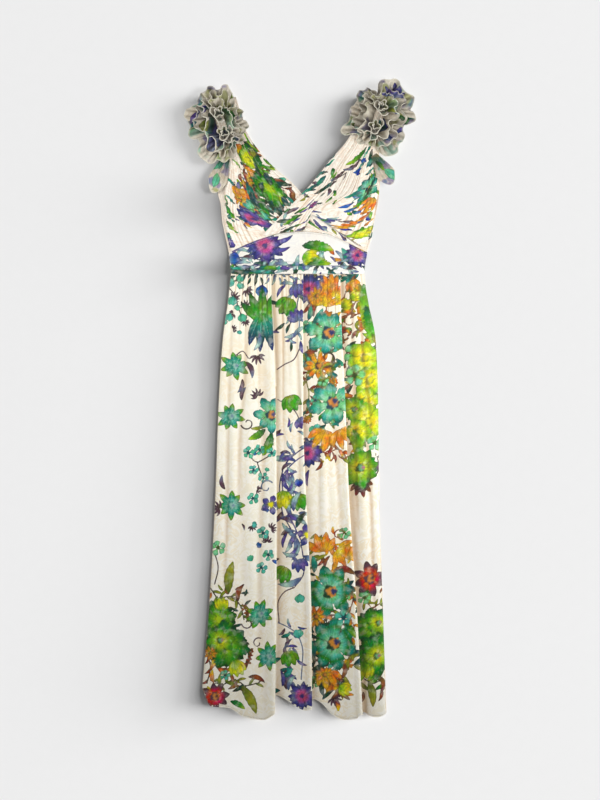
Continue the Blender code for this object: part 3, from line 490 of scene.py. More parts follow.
SKIRT_MOTIFS = (
    # Left run: a palm-like spray at the top, star flowers and florets down a bare ground.
    ("bud", -154, 236, 26, -100), ("bud", -134, 196, 24, -80), ("bud", -160, 196, 22, -110),
    ("bud", -142, 268, 20, 60), ("blue_bud", -86, 262, 34, -95), ("palm", -84, 178, 80, 92),
    ("fin", -86, 196, 96, -84), ("slate", -92, 150, 44, -110), ("sea_star", -150, 74, 34, 12),
    ("plum", -124, 84, 42, -70), ("plum", -132, 44, 34, -110), ("thistle", -98, 98, 24, -80),
    ("sea_star", -160, -44, 33, 30), ("plum", -134, -6, 34, 70), ("bark_scroll", -120, -58, 16, 200),
    ("lagoon", -66, -40, 42, 20), ("green", -78, -72, 48, -150), ("green", -64, -80, 58, -112),
    ("olive", -84, -66, 30, 190), ("thistle", -96, 4, 22, 120), ("floret", -118, -126, 14, 10),
    ("floret", -92, -120, 13, 40), ("floret", -106, -166, 12, 0), ("floret", -84, -184, 13, 60),
    ("floret", -64, -126, 12, 20), ("slate_scroll", -76, -206, 17, 40), ("iris", -66, -246, 24, 70),
    ("floret", -108, -232, 14, 30), ("sea_star", -158, -248, 34, 0), ("plum", -172, -212, 36, 100),
    ("thistle", -184, -256, 24, 170), ("plum", -134, -290, 18, -70), ("floret", -84, -312, 15, 15),
    ("thistle", -66, -302, 18, 30), ("floret", -72, -362, 14, 50), ("floret", -88, -392, 14, 5),
    ("blue", -64, -374, 22, -30), ("mint_floret", -188, -346, 18, 25), ("olive", -164, -452, 76, 82),
    ("brown", -142, -470, 44, 70), ("rust_berries", -132, -476, 46, -62), ("fern", -186, -512, 46, 15),
    ("fern", -170, -572, 58, 40), ("meadow", -184, -560, 34, 5), ("tulip", -178, -492, 34, 96),
    ("tulip", -150, -606, 42, -70), ("marigold", -206, -590, 16, 0),
    ("rust_berries", -122, -622, 46, 72), ("sea_star", -92, -500, 34, 22),
    ("plum_scroll", -120, -520, 14, 190), ("sea_star", -72, -596, 33, 8),
    ("plum_scroll", -96, -566, 13, 60), ("ember", -196, -690, 34, 10), ("floret", -172, -640, 12, 0),
    ("brown", -118, -644, 42, -20), ("olive", -134, -664, 74, -62), ("green", -160, -700, 40, -28),
    # Second run: bells and narrow leaves on a vine.
    ("bluebell", -10, 262, 34, -70), ("bell", -24, 232, 46, -108), ("bluebell", -2, 178, 34, 120),
    ("slate", -14, 140, 40, 40), ("indigo", 2, 132, 44, -60), ("bell", -24, 6, 44, -72),
    ("bluebell", -4, -48, 28, -50), ("tulip", -36, -214, 46, -92), ("bell", -2, -222, 42, -80),
    ("blue_bud", 0, -206, 24, 100), ("slate", -14, -262, 50, 70), ("dark", -8, -300, 44, 60),
    ("bell", -30, -392, 42, -120), ("bluebell", -2, -372, 34, -76), ("bud", 0, -452, 26, -84),
    ("bud", -2, -556, 26, 96), ("bell", -28, -586, 40, -70), ("indigo", -40, -668, 40, 100),
    ("slate", -26, -676, 40, 66), ("dusk", 6, -688, 34, 0),
    # Third run: the densest, with large flowers over and under bare ground.
    ("dusk", 20, 252, 40, 30), ("lily", 52, 214, 52, 84), ("lily", 84, 232, 44, 60),
    ("flame", 74, 256, 36, 110), ("marigold", 40, 236, 20, 0), ("tulip", 96, 210, 30, 30),
    ("teal", 30, 170, 44, 60), ("lagoon", 66, 150, 54, 12), ("brown", 98, 150, 46, 250),
    ("marigold", 44, 74, 32, 15), ("bark_scroll", 64, 92, 22, 250), ("olive_scroll", 66, 58, 22, 70),
    ("lagoon", 76, -12, 53, 44), ("dark", 62, -62, 30, 200), ("floret", 40, -78, 20, 12),
    ("plum", 34, -96, 30, 230), ("dusk", 18, -128, 38, 10), ("flame", 62, -74, 54, -110),
    ("flame", 92, -72, 50, -62), ("rust_scroll", 66, -132, 15, 300),
    ("rust_scroll", 104, -128, 14, 200), ("indigo", 22, -166, 40, -90), ("iris", 18, -316, 26, 30),
    ("indigo", 20, -338, 52, -82), ("flame", 54, -356, 50, 100), ("lily", 88, -350, 50, -30),
    ("flame", 112, -366, 36, 40), ("mint_floret", 104, -312, 15, 0), ("rust_scroll", 90, -316, 14, 20),
    ("brown", 78, -398, 56, -12), ("teal", 34, -404, 40, 100), ("lagoon_dark", 70, -448, 58, 8),
    ("lagoon_dark", 78, -568, 58, 34), ("marigold", 38, -506, 24, 0), ("floret", 102, -508, 20, 20),
    ("green", 104, -520, 44, -50), ("dark", 34, -560, 40, -110), ("teal", 34, -600, 44, 110),
    ("brown", 104, -612, 40, -100), ("flame", 62, -632, 46, -70), ("marigold", 58, -640, 20, 10),
    ("tulip", 92, -664, 34, -30), ("thistle", 80, -694, 22, -60),
    # Fourth run: lime flowers above, bare ground, then a deep red flower over large green ones.
    ("flame", 118, 270, 30, -60), ("tulip", 116, 232, 28, 20), ("rust_scroll", 118, 178, 18, 60),
    ("long_green", 148, 264, 112, -84), ("green", 152, 214, 92, -76), ("olive", 166, 150, 40, -60),
    ("mint_floret", 124, 104, 22, 0), ("lime", 150, 92, 40, 20), ("lime", 162, 40, 38, 50),
    ("mint_floret", 128, 52, 24, 10), ("lime", 152, -6, 34, 5), ("meadow", 126, -26, 32, 0),
    ("lime", 158, -56, 44, 35), ("lime", 136, -78, 32, 0), ("long_green", 124, -72, 84, -76),
    ("mint_floret", 174, -104, 18, 20), ("husk", 142, -196, 36, -74), ("meadow", 140, -162, 47, 14),
    ("long_green", 124, -128, 40, -130), ("ember", 162, -418, 40, 20),
    ("mint_floret", 150, -462, 15, 0), ("fern", 168, -528, 48, 5), ("meadow", 182, -520, 30, 25),
    ("fern", 176, -594, 56, 30), ("meadow", 178, -596, 38, 10), ("tulip", 158, -612, 40, -100),
    ("long_green", 148, -600, 60, -94), ("brown", 186, -642, 40, -80), ("olive", 160, -654, 62, -76),
)
MIDRIFF_SCATTERS = (
    ("slate indigo teal slate dark", (-158, 150), (291, 312), 62, 36, 0),
    ("dark teal green", (-158, -40), (287, 296), 26, 34, 170),
    ("indigo slate plum", (-158, -60), (316, 344), 9, 30, 20),
    ("slate indigo amber", (80, 150), (306, 344), 12, 26, 200),
)
MIDRIFF_VINES = (
    ("indigo", 2.6, ((-158, 322), (-120, 326), (-84, 318), (-40, 322)), "slate", 26, 6),
    ("slate", 2.8, ((-104, 302), (-64, 308), (-24, 300), (10, 310)), "slate", 30, 6),
    ("indigo", 2.4, ((88, 312), (112, 318), (134, 306), (150, 316)), "indigo", 22, 5),
    ("forest", 3.0, ((-158, 300), (-132, 294), (-104, 300)), "dark", 22, 8),
)
MIDRIFF_MOTIFS = (
    ("teal", -124, 338, 46, 24), ("amber", -88, 386, 34, 20), ("indigo", -104, 362, 56, 150),
    ("dusk", -80, 352, 44, 12), ("indigo", -96, 346, 48, 176), ("indigo", -64, 344, 44, 8),
    ("indigo", -58, 362, 46, 20), ("slate", -150, 342, 34, -10), ("blue_bud", -136, 320, 34, 170),
    ("green", 6, 352, 74, -8), ("tulip", 6, 326, 44, -12), ("long_green", 26, 322, 46, -14),
    ("green", 16, 306, 58, 4), ("dusk", 134, 330, 32, 40), ("amber", 128, 352, 26, -30),
    ("thistle", 116, 304, 20, -40), ("slate", 74, 300, 36, 10),
)
LEFT_PANEL_SCATTERS = (
    ("green amber dark brown long_green", (-140, -60), (470, 590), 72, 34, 290),
    ("teal dark green brown", (-104, -16), (396, 504), 64, 36, 300),
    ("amber indigo teal plum", (-150, -100), (400, 500), 34, 30, 290),
    ("green teal", (-178, -160), (360, 470), 8, 26, 280),
)
LEFT_PANEL_VINES = (
    ("bark", 2.6, ((-118, 570), (-88, 530), (-62, 500), (-20, 480)), "brown", 24, 6),
    ("rust", 2.4, ((-150, 500), (-132, 470), (-118, 440), (-96, 408)), "amber", 20, 6),
    ("forest", 3.0, ((-112, 522), (-84, 480), (-52, 440), (-16, 408)), "dark", 26, 8),
)
LEFT_PANEL_MOTIFS = (
    ("long_green", -132, 588, 66, -62), ("olive", -108, 580, 60, -50), ("lime", -118, 552, 30, 0),
    ("green", -96, 560, 90, -44), ("flame", -96, 520, 46, -20), ("marigold", -112, 504, 26, 0),
    ("fern", -66, 482, 56, 0), ("teal", -120, 500, 84, -48), ("green", -84, 452, 78, -40),
    ("long_green", -44, 486, 66, -36), ("flame", -144, 484, 44, -60), ("marigold", -136, 456, 24, 20),
    ("lagoon", -96, 430, 34, 0), ("dusk", -104, 412, 38, 20), ("indigo", -128, 440, 46, -60),
    ("dark", -42, 440, 50, -30), ("green", -176, 452, 44, -78), ("dark", -102, 544, 54, -52),
    ("forest", -76, 522, 50, -42), ("brown", -128, 530, 50, -58), ("forest", -112, 476, 60, -50),
    ("dark", -62, 456, 46, -36), ("dark", -86, 498, 40, -46), ("forest", -32, 468, 44, -30),
    ("long_green", -168, 410, 36, -70), ("teal", -80, 394, 34, -40), ("indigo", -166, 372, 40, -40),
    ("green", 22, 412, 62, -38), ("long_green", 34, 400, 46, -30), ("indigo", 34, 414, 80, -30),
    ("slate", 62, 396, 56, -24), ("olive", 78, 392, 40, -34), ("indigo", 96, 384, 60, -28),
    ("plum", 112, 372, 40, -20),
)
RIGHT_PANEL_SCATTERS = (
    ("teal dark plum green", (20, 90), (440, 560), 22, 30, 230),
    ("dark teal blue green", (140, 180), (440, 560), 26, 28, 250),
    ("indigo green slate dark", (-44, 40), (384, 440), 26, 32, 210),
    ("indigo slate plum", (30, 100), (370, 420), 12, 30, 300),
    ("amber blue long_green", (120, 172), (370, 450), 18, 26, 250),
)
RIGHT_PANEL_VINES = (
    ("bark", 2.4, ((148, 572), (118, 532), (84, 500), (58, 472)), "plum", 26, 5),
    ("deep_teal", 2.6, ((166, 520), (150, 484), (134, 452), (120, 424)), "teal", 24, 7),
    ("slate", 2.2, ((40, 424), (60, 402), (84, 386), (112, 372))),
    ("indigo", 2.2, ((6, 424), (-22, 402), (-44, 388))),
)
RIGHT_PANEL_MOTIFS = (
    ("green", 156, 582, 66, -128), ("teal", 168, 590, 40, -110), ("plum", 142, 552, 44, -134),
    ("plum", 104, 524, 46, -140), ("teal", 60, 524, 40, -128), ("dark", 76, 500, 56, -132),
    ("teal", 36, 492, 40, -120), ("olive", 20, 470, 26, -110), ("lagoon", 158, 482, 40, 0),
    ("dark", 176, 512, 56, -96), ("green", 160, 470, 48, -120), ("teal", 142, 474, 40, -140),
    ("blue", 126, 452, 34, -120), ("blue", 148, 440, 26, -110), ("flame", 170, 462, 44, -100),
    ("amber", 164, 432, 40, -104), ("lime", 162, 384, 26, 0), ("long_green", 146, 396, 34, -60),
    ("flame", 126, 398, 28, -150), ("dusk", 32, 446, 15, 0), ("indigo", 28, 426, 34, -120),
    ("green", 6, 424, 52, -142), ("dark", -20, 414, 40, -150), ("green", 30, 400, 30, -40),
    ("slate", 64, 410, 30, -40), ("plum", -30, 424, 34, 60), ("green", 40, 430, 66, -130),
    ("long_green", 66, 412, 56, -62), ("indigo", 50, 430, 70, -48), ("dark", -6, 400, 50, -140),
)
ROSETTE_MOTIFS = {
    "left": (
        ("teal", -236, 636, 44, 100), ("indigo", -232, 662, 40, 40), ("teal", -220, 610, 40, -60),
        ("green", -212, 590, 44, -80), ("bluebell", -200, 566, 46, -110), ("olive", -192, 650, 36, 60),
        ("olive", -160, 690, 34, 80), ("teal", -176, 612, 44, -30), ("slate", -166, 600, 40, -70),
        ("green", -150, 640, 40, -50), ("dark", -204, 606, 36, 200),
    ),
    "right": (
        ("blue", 214, 592, 52, -100), ("indigo", 222, 612, 40, 60), ("teal", 240, 650, 46, 70),
        ("green", 244, 630, 44, -60), ("bluebell", 214, 690, 36, 60), ("olive", 200, 668, 34, 110),
        ("olive", 114, 612, 26, 40), ("green", 188, 634, 44, -120), ("teal", 200, 620, 40, -80),
        ("green", 124, 690, 26, 100), ("slate", 252, 664, 36, 100),
    ),
}
TAIL_MOTIFS = {
    "left": (
        ("pale", -176, 552, 40, -128), ("pale", -190, 520, 34, -84), ("teal", -172, 556, 30, -96),
    ),
    "right": (
        ("pale", 186, 558, 44, -30), ("pale", 196, 528, 40, -70), ("green", 176, 548, 30, -80),
    ),
}

# ---- Smooth lines.


def slopes_of(knots, values):
    """Slope at each knot, so that the curve never overshoots: level at a peak or a valley, and
    otherwise the weighted harmonic mean of the slopes on both sides."""
    steps = np.diff(knots, axis=-1)
    rises = np.diff(values, axis=-1) / steps
    before, after = rises[..., :-1], rises[..., 1:]
    weight_before = 2 * steps[..., 1:] + steps[..., :-1]
    weight_after = steps[..., 1:] + 2 * steps[..., :-1]
    same_way = before * after > 0
    shares = weight_before / np.where(same_way, before, 1) + weight_after / np.where(same_way, after, 1)
    inner = np.where(same_way, (weight_before + weight_after) / shares, 0.0)
    return np.concatenate([rises[..., :1], inner, rises[..., -1:]], axis=-1)


def hermite(start, end, start_slope, end_slope, step, share):
    """Cubic from start to end with the given slopes, read at a share of the step between them."""
    squared, cubed = share**2, share**3
    return (
        (2 * cubed - 3 * squared + 1) * start
        + (cubed - 2 * squared + share) * step * start_slope
        + (3 * squared - 2 * cubed) * end
        + (cubed - squared) * step * end_slope
    )


def smooth_through(knots, values, places):
    """Smooth curve through values at rising knots, read at the given places."""
    slopes = slopes_of(knots, values)
    i = np.clip(np.searchsorted(knots, places, "right") - 1, 0, len(knots) - 2)
    step = knots[i + 1] - knots[i]
    share = (places - knots[i]) / step
    return hermite(values[i], values[i + 1], slopes[i], slopes[i + 1], step, share)


def smooth_path(places, count):
    """Smooth line through places in plan, as that many points: each coordinate is a smooth curve
    over the distance along the places."""
    places = np.array(places, float)
    along = np.concatenate([[0], np.cumsum(np.linalg.norm(np.diff(places, axis=0), axis=1))])
    at = np.linspace(0, along[-1], count)
    return np.stack([smooth_through(along, values, at) for values in places.T], axis=1)


def smooth_strip(stations, counts):
    """Fills rows of stations (rows, stations, 3) with counts[i] strips after station i, by chord."""
    chords = np.linalg.norm(np.diff(stations, axis=1), axis=2)
    knots = np.concatenate([np.zeros((len(stations), 1)), np.cumsum(chords, axis=1)], axis=1)
    values = np.moveaxis(stations, 2, 0)
    slopes = slopes_of(knots[None], values)
    i = np.append(np.repeat(np.arange(len(counts)), counts), len(counts) - 1)
    share = np.concatenate([*(np.arange(n) / n for n in counts), [1.0]])
    ends = values[..., i], values[..., i + 1], slopes[..., i], slopes[..., i + 1]
    return np.moveaxis(hermite(*ends, chords[None, :, i], share), 0, 2)


def down_line(table, name, y):
    """A line down the dress: the named column of a table, smooth in y."""
    return smooth_through(-table["y"], table[name], -np.asarray(y))


def mix(first, last, share):
    """A value at a share of the way from the first to the last."""
    return first + (last - first) * share


def x_between(table, left, right, y, share):
    """x at a share of the way between two lines down the dress."""
    return mix(down_line(table, left, y), down_line(table, right, y), share)


def eased(share):
    """0 to 1 with level ends."""
    share = np.clip(share, 0, 1)
    return share * share * (3 - 2 * share)


def rolled(distance):
    """Quarter round that rises from 0 at an edge to 1 over SIDE_ROUND."""
    return np.sqrt(1 - (1 - np.clip(distance / SIDE_ROUND, 0, 1)) ** 2)


def bell(distance, half_width):
    """1 in the middle, fading to both sides as a Gaussian."""
    return np.exp(-((distance / half_width) ** 2))


def shares_of(steps):
    """Shares from 0 to 1 in equal steps."""
    return np.linspace(0, 1, steps + 1)


def heading(degrees):
    """Unit direction in plan, anticlockwise from +X."""
    angle = np.radians(degrees)
    return np.stack([np.cos(angle), np.sin(angle)], axis=-1)


def ripple(x, y):
    """Soft unevenness from -1 to 1: a product and a sum of sines at unrelated pitches in mm."""
    crossed = np.sin(x / 9.1 + 1.7 * np.sin(y / 61.0)) * np.sin(y / 37.0 + 0.9 * np.sin(x / 23.0))
    return (crossed + 0.6 * np.sin(x / 5.3 + y / 83.0 + 2.0)) / 1.6


# ---- Surfaces: grids of middle points of the cloth, with their places on the flat cloth.

Surface = namedtuple("Surface", "middle across along seen")


def surface_of(x, y, z, across, along, seen=True):
    """A surface from its points' coordinates and their places on the flat cloth."""
    middle = np.stack(np.broadcast_arrays(x, y, z), axis=2)
    return Surface(middle, *(np.broadcast_to(grid, middle.shape[:2]) for grid in (across, along, seen)))


def flat_surface(x, y):
    """Cloth that lies flat on the surface below it."""
    return surface_of(x, y, cloth_sizes().wall / MM / 2, x, y)


def edge_roll(x, y):
    """How far the bodice has risen from its side seams and shoulder seams, 0 to 1."""
    left = x - down_line(OUTLINE, "left", y)
    right = down_line(OUTLINE, "right", y) - x
    return rolled(np.minimum(np.minimum(left, right), SHOULDER_Y - y))


def bodice_level(x, y):
    """Height of the front of the bodice: nearly flat, with two soft cups."""
    level = np.full(np.shape(x), FRONT_Z)
    for cup_x, cup_y in CUPS:
        level = level + CUP_RISE * np.exp(
            -(((x - cup_x) / CUP_WIDTH) ** 2) - ((y - cup_y) / CUP_HEIGHT) ** 2
        )
    return mix(EDGE_Z, level, edge_roll(x, y))


def folded_edge(line, tuck, top, hem):
    """Stations of one deep fold: over its crest, back underneath, and out again at the bottom."""
    rise = np.subtract(top, FOLD_LOW)
    stations = []
    for turns, depths, level, hem_share in FOLD_SECTION:
        shift = turns * TURN_SHARE * rise + depths * np.array(tuck)
        hem_y = hem[0] + hem_share * (hem[1] - hem[0])
        stations.append([line, line, 0.0, *shift, *(FOLD_LOW + level * rise), hem_y, False])
    stations[-1][-1] = True
    return stations


def skirt_front_surface():
    """Front of the skirt: a folded section at the waist that grows towards the hem, with gathers
    and creases on what shows. A station of the section lies at a share of the way between two
    lines, is shifted sideways at waist and hem, and has its height at both and its hem's y. Across
    the flat cloth, what shows keeps its x, and a fold adds its own length."""
    stations = []
    for run, fold in zip(RUNS, (*FOLDS, None)):
        line, next_line, places = run
        for share, z_waist, z_hem, hem_y in places:
            stations.append([line, next_line, share, 0.0, 0.0, z_waist, z_hem, hem_y, True])
        stations += folded_edge(*fold) if fold else []
    from_lines, to_lines, *numbers, seen = zip(*stations)
    share, shift_waist, shift_hem, z_waist, z_hem, hem_y = np.array(numbers, float)

    down = shares_of(SKIRT_ROWS)[:, None]
    top_y = WAIST_Y - SEAM_GAP / 2
    y = mix(top_y, hem_y, down)
    from_x, to_x = (
        np.stack([down_line(SKIRT, name, y[:, k]) for k, name in enumerate(names)], axis=1)
        for names in (from_lines, to_lines)
    )
    x = mix(from_x, to_x, share) + shift_waist + (shift_hem - shift_waist) * down
    points = np.stack([x, y, mix(z_waist, z_hem, down)], axis=2)

    seen = np.array(seen[:-1])
    spacing = np.where(seen, SKIRT_SPACING, SKIRT_HIDDEN_SPACING)
    chords = np.linalg.norm(np.diff(points[-1], axis=0), axis=1)
    counts = np.maximum(np.round(chords / spacing).astype(int), np.where(seen, 1, 3))
    middle = smooth_strip(points, counts)
    seen = np.append(np.repeat(seen, counts), True)

    steps = np.diff(middle, axis=1)
    lengths = np.where(seen[:-1], steps[..., 0], np.linalg.norm(steps, axis=2))
    x, y, z = np.moveaxis(middle, 2, 0)
    across = np.concatenate([x[:, :1], x[:, :1] + np.cumsum(lengths, axis=1)], axis=1)
    soft = gathers_at(x[:1], down) + seen * (creases_at(x, y) + RIPPLE * ripple(across, y))
    return surface_of(x, y, z + soft * np.clip(z - EDGE_Z, 0, 1), across, y, seen)


def gathers_at(waist_x, down):
    """Height of the gathers below the waist: a bell across each, fading to its reach. Fine gathers
    stand between the large ones, spaced by the golden ratio."""
    height = np.zeros(np.broadcast(waist_x, down).shape)
    for x, top, half_width, reach in GATHERS:
        height = height + top * bell(waist_x - x, half_width) * (1 - eased(down / reach))
    golden = np.mod(np.arange(FINE_GATHERS) * GOLDEN_RATIO, 1)
    first, last = FINE_GATHER_SPAN
    for x, vary in zip(mix(first, last, golden), np.mod(golden * 7.3, 1)):
        profile = bell(waist_x - x, FINE_GATHER_HALF_WIDTH)
        height = height + FINE_GATHER_HEIGHT * profile * (1 - eased(down / (0.08 + 0.2 * vary)))
    return height


def creases_at(x, y):
    """Height of the skirt's creases: a bell across a line that sways a little, and a half sine
    along it."""
    height = np.zeros(x.shape)
    for x_top, y_top, x_low, y_low, top, half_width in SKIRT_CREASES:
        share = np.clip((y_top - y) / (y_top - y_low), 0, 1)
        middle = mix(x_top, x_low, share) + CREASE_SWAY * np.sin(share * 7.0 + x_top)
        profile = bell(x - middle, half_width)
        height = height + CREASE_STRENGTH * top * profile * np.sin(share * math.pi) ** 0.7
    return height


def skirt_back_surface():
    """Back of the skirt: flat on the surface, between its side seams and its hem."""
    share = shares_of(SKIRT_BACK_STRIPS)
    down = shares_of(SKIRT_BACK_ROWS)[:, None]
    hem_x, hem_y = np.array(BACK_HEM, float).T
    low_y = np.interp(mix(hem_x[0], hem_x[-1], share), hem_x, hem_y)
    top_y = WAIST_Y - SEAM_GAP / 2
    y = mix(top_y, low_y, down)
    return flat_surface(x_between(SKIRT, "left", "right", y, share), y)


def midriff_back_surface():
    """Back of the midriff: flat, between the side seams."""
    share = shares_of(BACK_STRIPS)
    y = np.linspace(MIDRIFF_SIDE_Y, WAIST_Y + SEAM_GAP / 2, BACK_STRIPS // 4 + 1)[:, None]
    return flat_surface(x_between(OUTLINE, "back_left", "back_right", y, share), y)


def bodice_back_surface():
    """Back of the bodice: flat and ruled between its V neckline and its outer edge, which runs from
    one shoulder down the side, along the seam under it, and up to the other shoulder."""
    half = shares_of(BACK_ROWS // 2)
    side_y = SHOULDER_Y + (MIDRIFF_SIDE_Y + SEAM_GAP - SHOULDER_Y) * np.clip(half / BACK_CORNER, 0, 1)
    inwards = 1 - np.clip((half - BACK_CORNER) / (1 - BACK_CORNER), 0, 1)
    neck = smooth_path(BACK_NECK, len(half))
    left, right = (
        np.column_stack([down_line(OUTLINE, name, side_y) * inwards, side_y])
        for name in ("back_left", "back_right")
    )
    neck, edge = (
        np.concatenate([first[:-1], [[0.0, first[-1, 1]]], last[-2::-1]])
        for first, last in ((neck, neck * (-1, 1)), (left, right))
    )
    share = shares_of(BACK_STRIPS)[None, :, None]
    plan = neck[:, None] + (edge - neck)[:, None] * share
    return flat_surface(plan[:, ::-1, 0], plan[:, ::-1, 1])


def arch_height(x):
    """Height of the seam under the bust, a low arch across the midriff."""
    return smooth_through(ARCH["x"], ARCH["y"], x)


def midriff_front_surface():
    """Midriff: soft creases under the arch, then tucks down to the waist. Along the flat cloth the
    length grows with the points' distance, and each tuck hides TUCK_HIDDEN more."""
    across = 0.5 - 0.5 * np.cos(np.linspace(0, math.pi, MIDRIFF_STRIPS + 1))
    crease = shares_of(CREASE_ROWS)[:, None]
    tuck = np.linspace(0, TUCKS, TUCKS * ROWS_A_TUCK + 1)[1:, None]

    arch_left = down_line(OUTLINE, "left", ARCH["y"][0])
    arch_right = down_line(OUTLINE, "right", ARCH["y"][-1])
    arch_y = arch_height(mix(arch_left, arch_right, across))
    crease_y = mix(arch_y, TUCKS_TOP_Y, crease)
    side = rolled(np.minimum(across, 1 - across) * (arch_right - arch_left))
    bottom_y = WAIST_Y + TUCK_SIDE_GAP - (TUCK_OVERHANG + TUCK_SIDE_GAP) * side
    tuck_y = TUCKS_TOP_Y + (bottom_y - TUCKS_TOP_Y) * tuck / TUCKS
    y = np.concatenate([crease_y, tuck_y])
    left = down_line(OUTLINE, "left", y[:, :1])
    right = down_line(OUTLINE, "right", y[:, -1:])
    x = mix(left, right, across)

    first, last = TUCK_BASE_Z
    top_z = bodice_level(x[:1], y[:1])
    crease_z = mix(top_z, first, eased(crease))
    crease_z = crease_z + CREASE_DEPTH * np.sin(crease * math.pi * CREASES_ACROSS) ** 2
    share = np.mod(tuck, 1.0)
    tuck_z = first + (last - first) * tuck / TUCKS + TUCK_HEIGHT * np.sqrt(1 - (2 * share - 1) ** 2)
    z = np.concatenate([crease_z, np.broadcast_to(tuck_z, tuck_y.shape)])
    uneven = RIPPLE * np.sin(x / 17.0 + y / 9.0) * np.sin(x / 41.0 + 1.0)
    inside = np.sin(np.linspace(0, 1, len(y)) * math.pi)[:, None]
    z = EDGE_Z + (z + uneven * inside - EDGE_Z) * side
    z[0] = top_z

    steps = np.linalg.norm(np.diff(np.stack([x, y, z], axis=2), axis=0), axis=2)
    steps = steps + TUCK_HIDDEN * np.append(np.zeros(CREASE_ROWS), share[:, 0] == 0)[:, None]
    along = y[:1] - np.concatenate([np.zeros_like(y[:1]), np.cumsum(steps, axis=0)])
    return surface_of(x, y, z, x, along)


def pleat_ridge(place):
    """Height of the knife pleats, 0 to 1: a slow rise, then a drop over the last third of a pleat."""
    drop_from = 1 - PLEAT_DROP
    share = np.mod(place, 1.0)
    rise = np.sin(share / drop_from * math.pi / 2)
    fall = np.cos((share - drop_from) / PLEAT_DROP * math.pi / 2)
    return np.where(share < drop_from, rise, fall)


def panel_surface(panel, crosses_over):
    """One pleated front panel: plan points between its pleat lines, the level of the bodice, knife
    pleats and finer ones between them. Across the flat cloth each pleat hides PLEAT_HIDDEN."""
    lines = np.array(panel, float)
    steps = np.linspace(0, 1, len(panel))
    down = shares_of(PANEL_ROWS)
    across = shares_of(PLEATS * STRIPS_A_PLEAT)
    at_lines = np.linspace(0, 1, lines.shape[1])
    plan = np.empty((len(down), len(across), 2))
    for axis in range(2):
        rows = np.stack([smooth_through(steps, line, down) for line in lines[..., axis].T], axis=1)
        plan[..., axis] = [np.interp(across, at_lines, row) for row in rows]
    x, y = plan[..., 0], plan[..., 1]
    down = down[:, None]
    roll = edge_roll(x, y)
    ends = np.sqrt(eased(across * PLEATS) * eased((1 - across) * PLEATS))
    wander = 0.3 * np.sin(across * 19.0 + 2.5 * down) + 0.16 * np.sin(9.0 * down + across * 31.0)
    place = across * PLEATS + wander * ends
    turns = 2.5 * math.pi * place + 3.0 * np.sin(down * 5.0)
    fine = (0.8 + 0.4 * np.sin(place * 2.3 + 7.0 * down)) * np.abs(np.sin(turns))
    z = bodice_level(x, y) + (PLEAT_DEPTH * pleat_ridge(place) + fine) * roll * ends
    if crosses_over:
        edge_x, edge_y = np.array([row[0] for row in LEFT_PANEL], float).T
        above_it = y - np.interp(x, edge_x, edge_y)
        lift = eased((CROSS_MARGIN - above_it) / CROSS_EASE)
        z = z + CROSS_LIFT * lift * (roll + (1 - roll) * CROSS_SIDE_SHARE)
    else:
        y = y + (arch_height(x[-1:]) + ARCH_GAP - y[-1:]) * down**ARCH_FIT_POWER

    width, length = (np.cumsum(np.linalg.norm(np.diff(plan, axis=k), axis=2), axis=k) for k in (1, 0))
    width = np.concatenate([np.zeros_like(width[:, :1]), width], axis=1)
    length = np.concatenate([np.zeros_like(length[:1]), length])
    hidden = PLEAT_HIDDEN * np.floor(2 * place + PLEAT_DROP)
    return surface_of(x, y, z, width + hidden, -length)


def flounce_surface(rosette, flounce):
    """A flounce: a ring that spreads from a loop at its foot, which is two half rounds joined along
    the shoulder. Towards its edge the ruffles meander in plan, out and in once for each two swings
    aside, and fine gathers stand at its foot."""
    degrees = np.arange(flounce.strips) * 360 / flounce.strips
    direction, axis = heading(degrees), heading(rosette.stem_turn)
    along = STEM_HALF * np.tanh(STEM_CORNER * direction @ axis)
    foot = np.array(rosette.centre) + along[:, None] * axis + STEM_RADIUS * direction
    angles, reaches = np.array((*rosette.lobes[-3:], *rosette.lobes, *rosette.lobes[:3]), float).T
    angles[:3] -= 360
    angles[-3:] += 360
    first = rosette.lobes[0][0]
    reach = smooth_through(angles, reaches, np.mod(degrees - first, 360) + first)
    edge = np.array(rosette.centre) + reach[:, None] * direction
    turn = np.radians(degrees)
    phase = turn * flounce.waves + WAVE_DRIFT * np.sin(turn * 2)
    sideways = np.stack([-direction[:, 1], direction[:, 0]], axis=1)
    out = shares_of(flounce.rows)[:, None]
    across = flounce.share * (edge - foot) + flounce.sway * np.cos(phase)[:, None] * direction
    plan = foot + out[..., None] * across
    z = mix(flounce.base_z, flounce.edge_z, out)
    for to_a_wave, outwards, aside, up, power, drift, start in RUFFLES:
        drifting = drift * np.sin(turn * 2 + start + flounce.waves)
        turns = turn * round(flounce.waves * to_a_wave) + drifting
        depth = 0.72 + 0.38 * np.sin(turn * 3 + start + flounce.waves)
        depth = flounce.ruffle * out**power * depth
        plan = plan + (depth * outwards * np.cos(turns))[..., None] * direction
        plan = plan + (depth * aside * np.sin(2 * turns))[..., None] * sideways
        z = z - depth * up * np.cos(turns + 0.5)
    fine = np.sin(turn * flounce.gathers + 1.2 * np.sin(turn * 3))
    z = z + flounce.gather * np.sin(out * math.pi) ** 0.8 * fine
    length = out * np.mean(np.linalg.norm(across, axis=1))
    return surface_of(plan[..., 0], plan[..., 1], z, turn * np.mean(reach) * flounce.share, length)


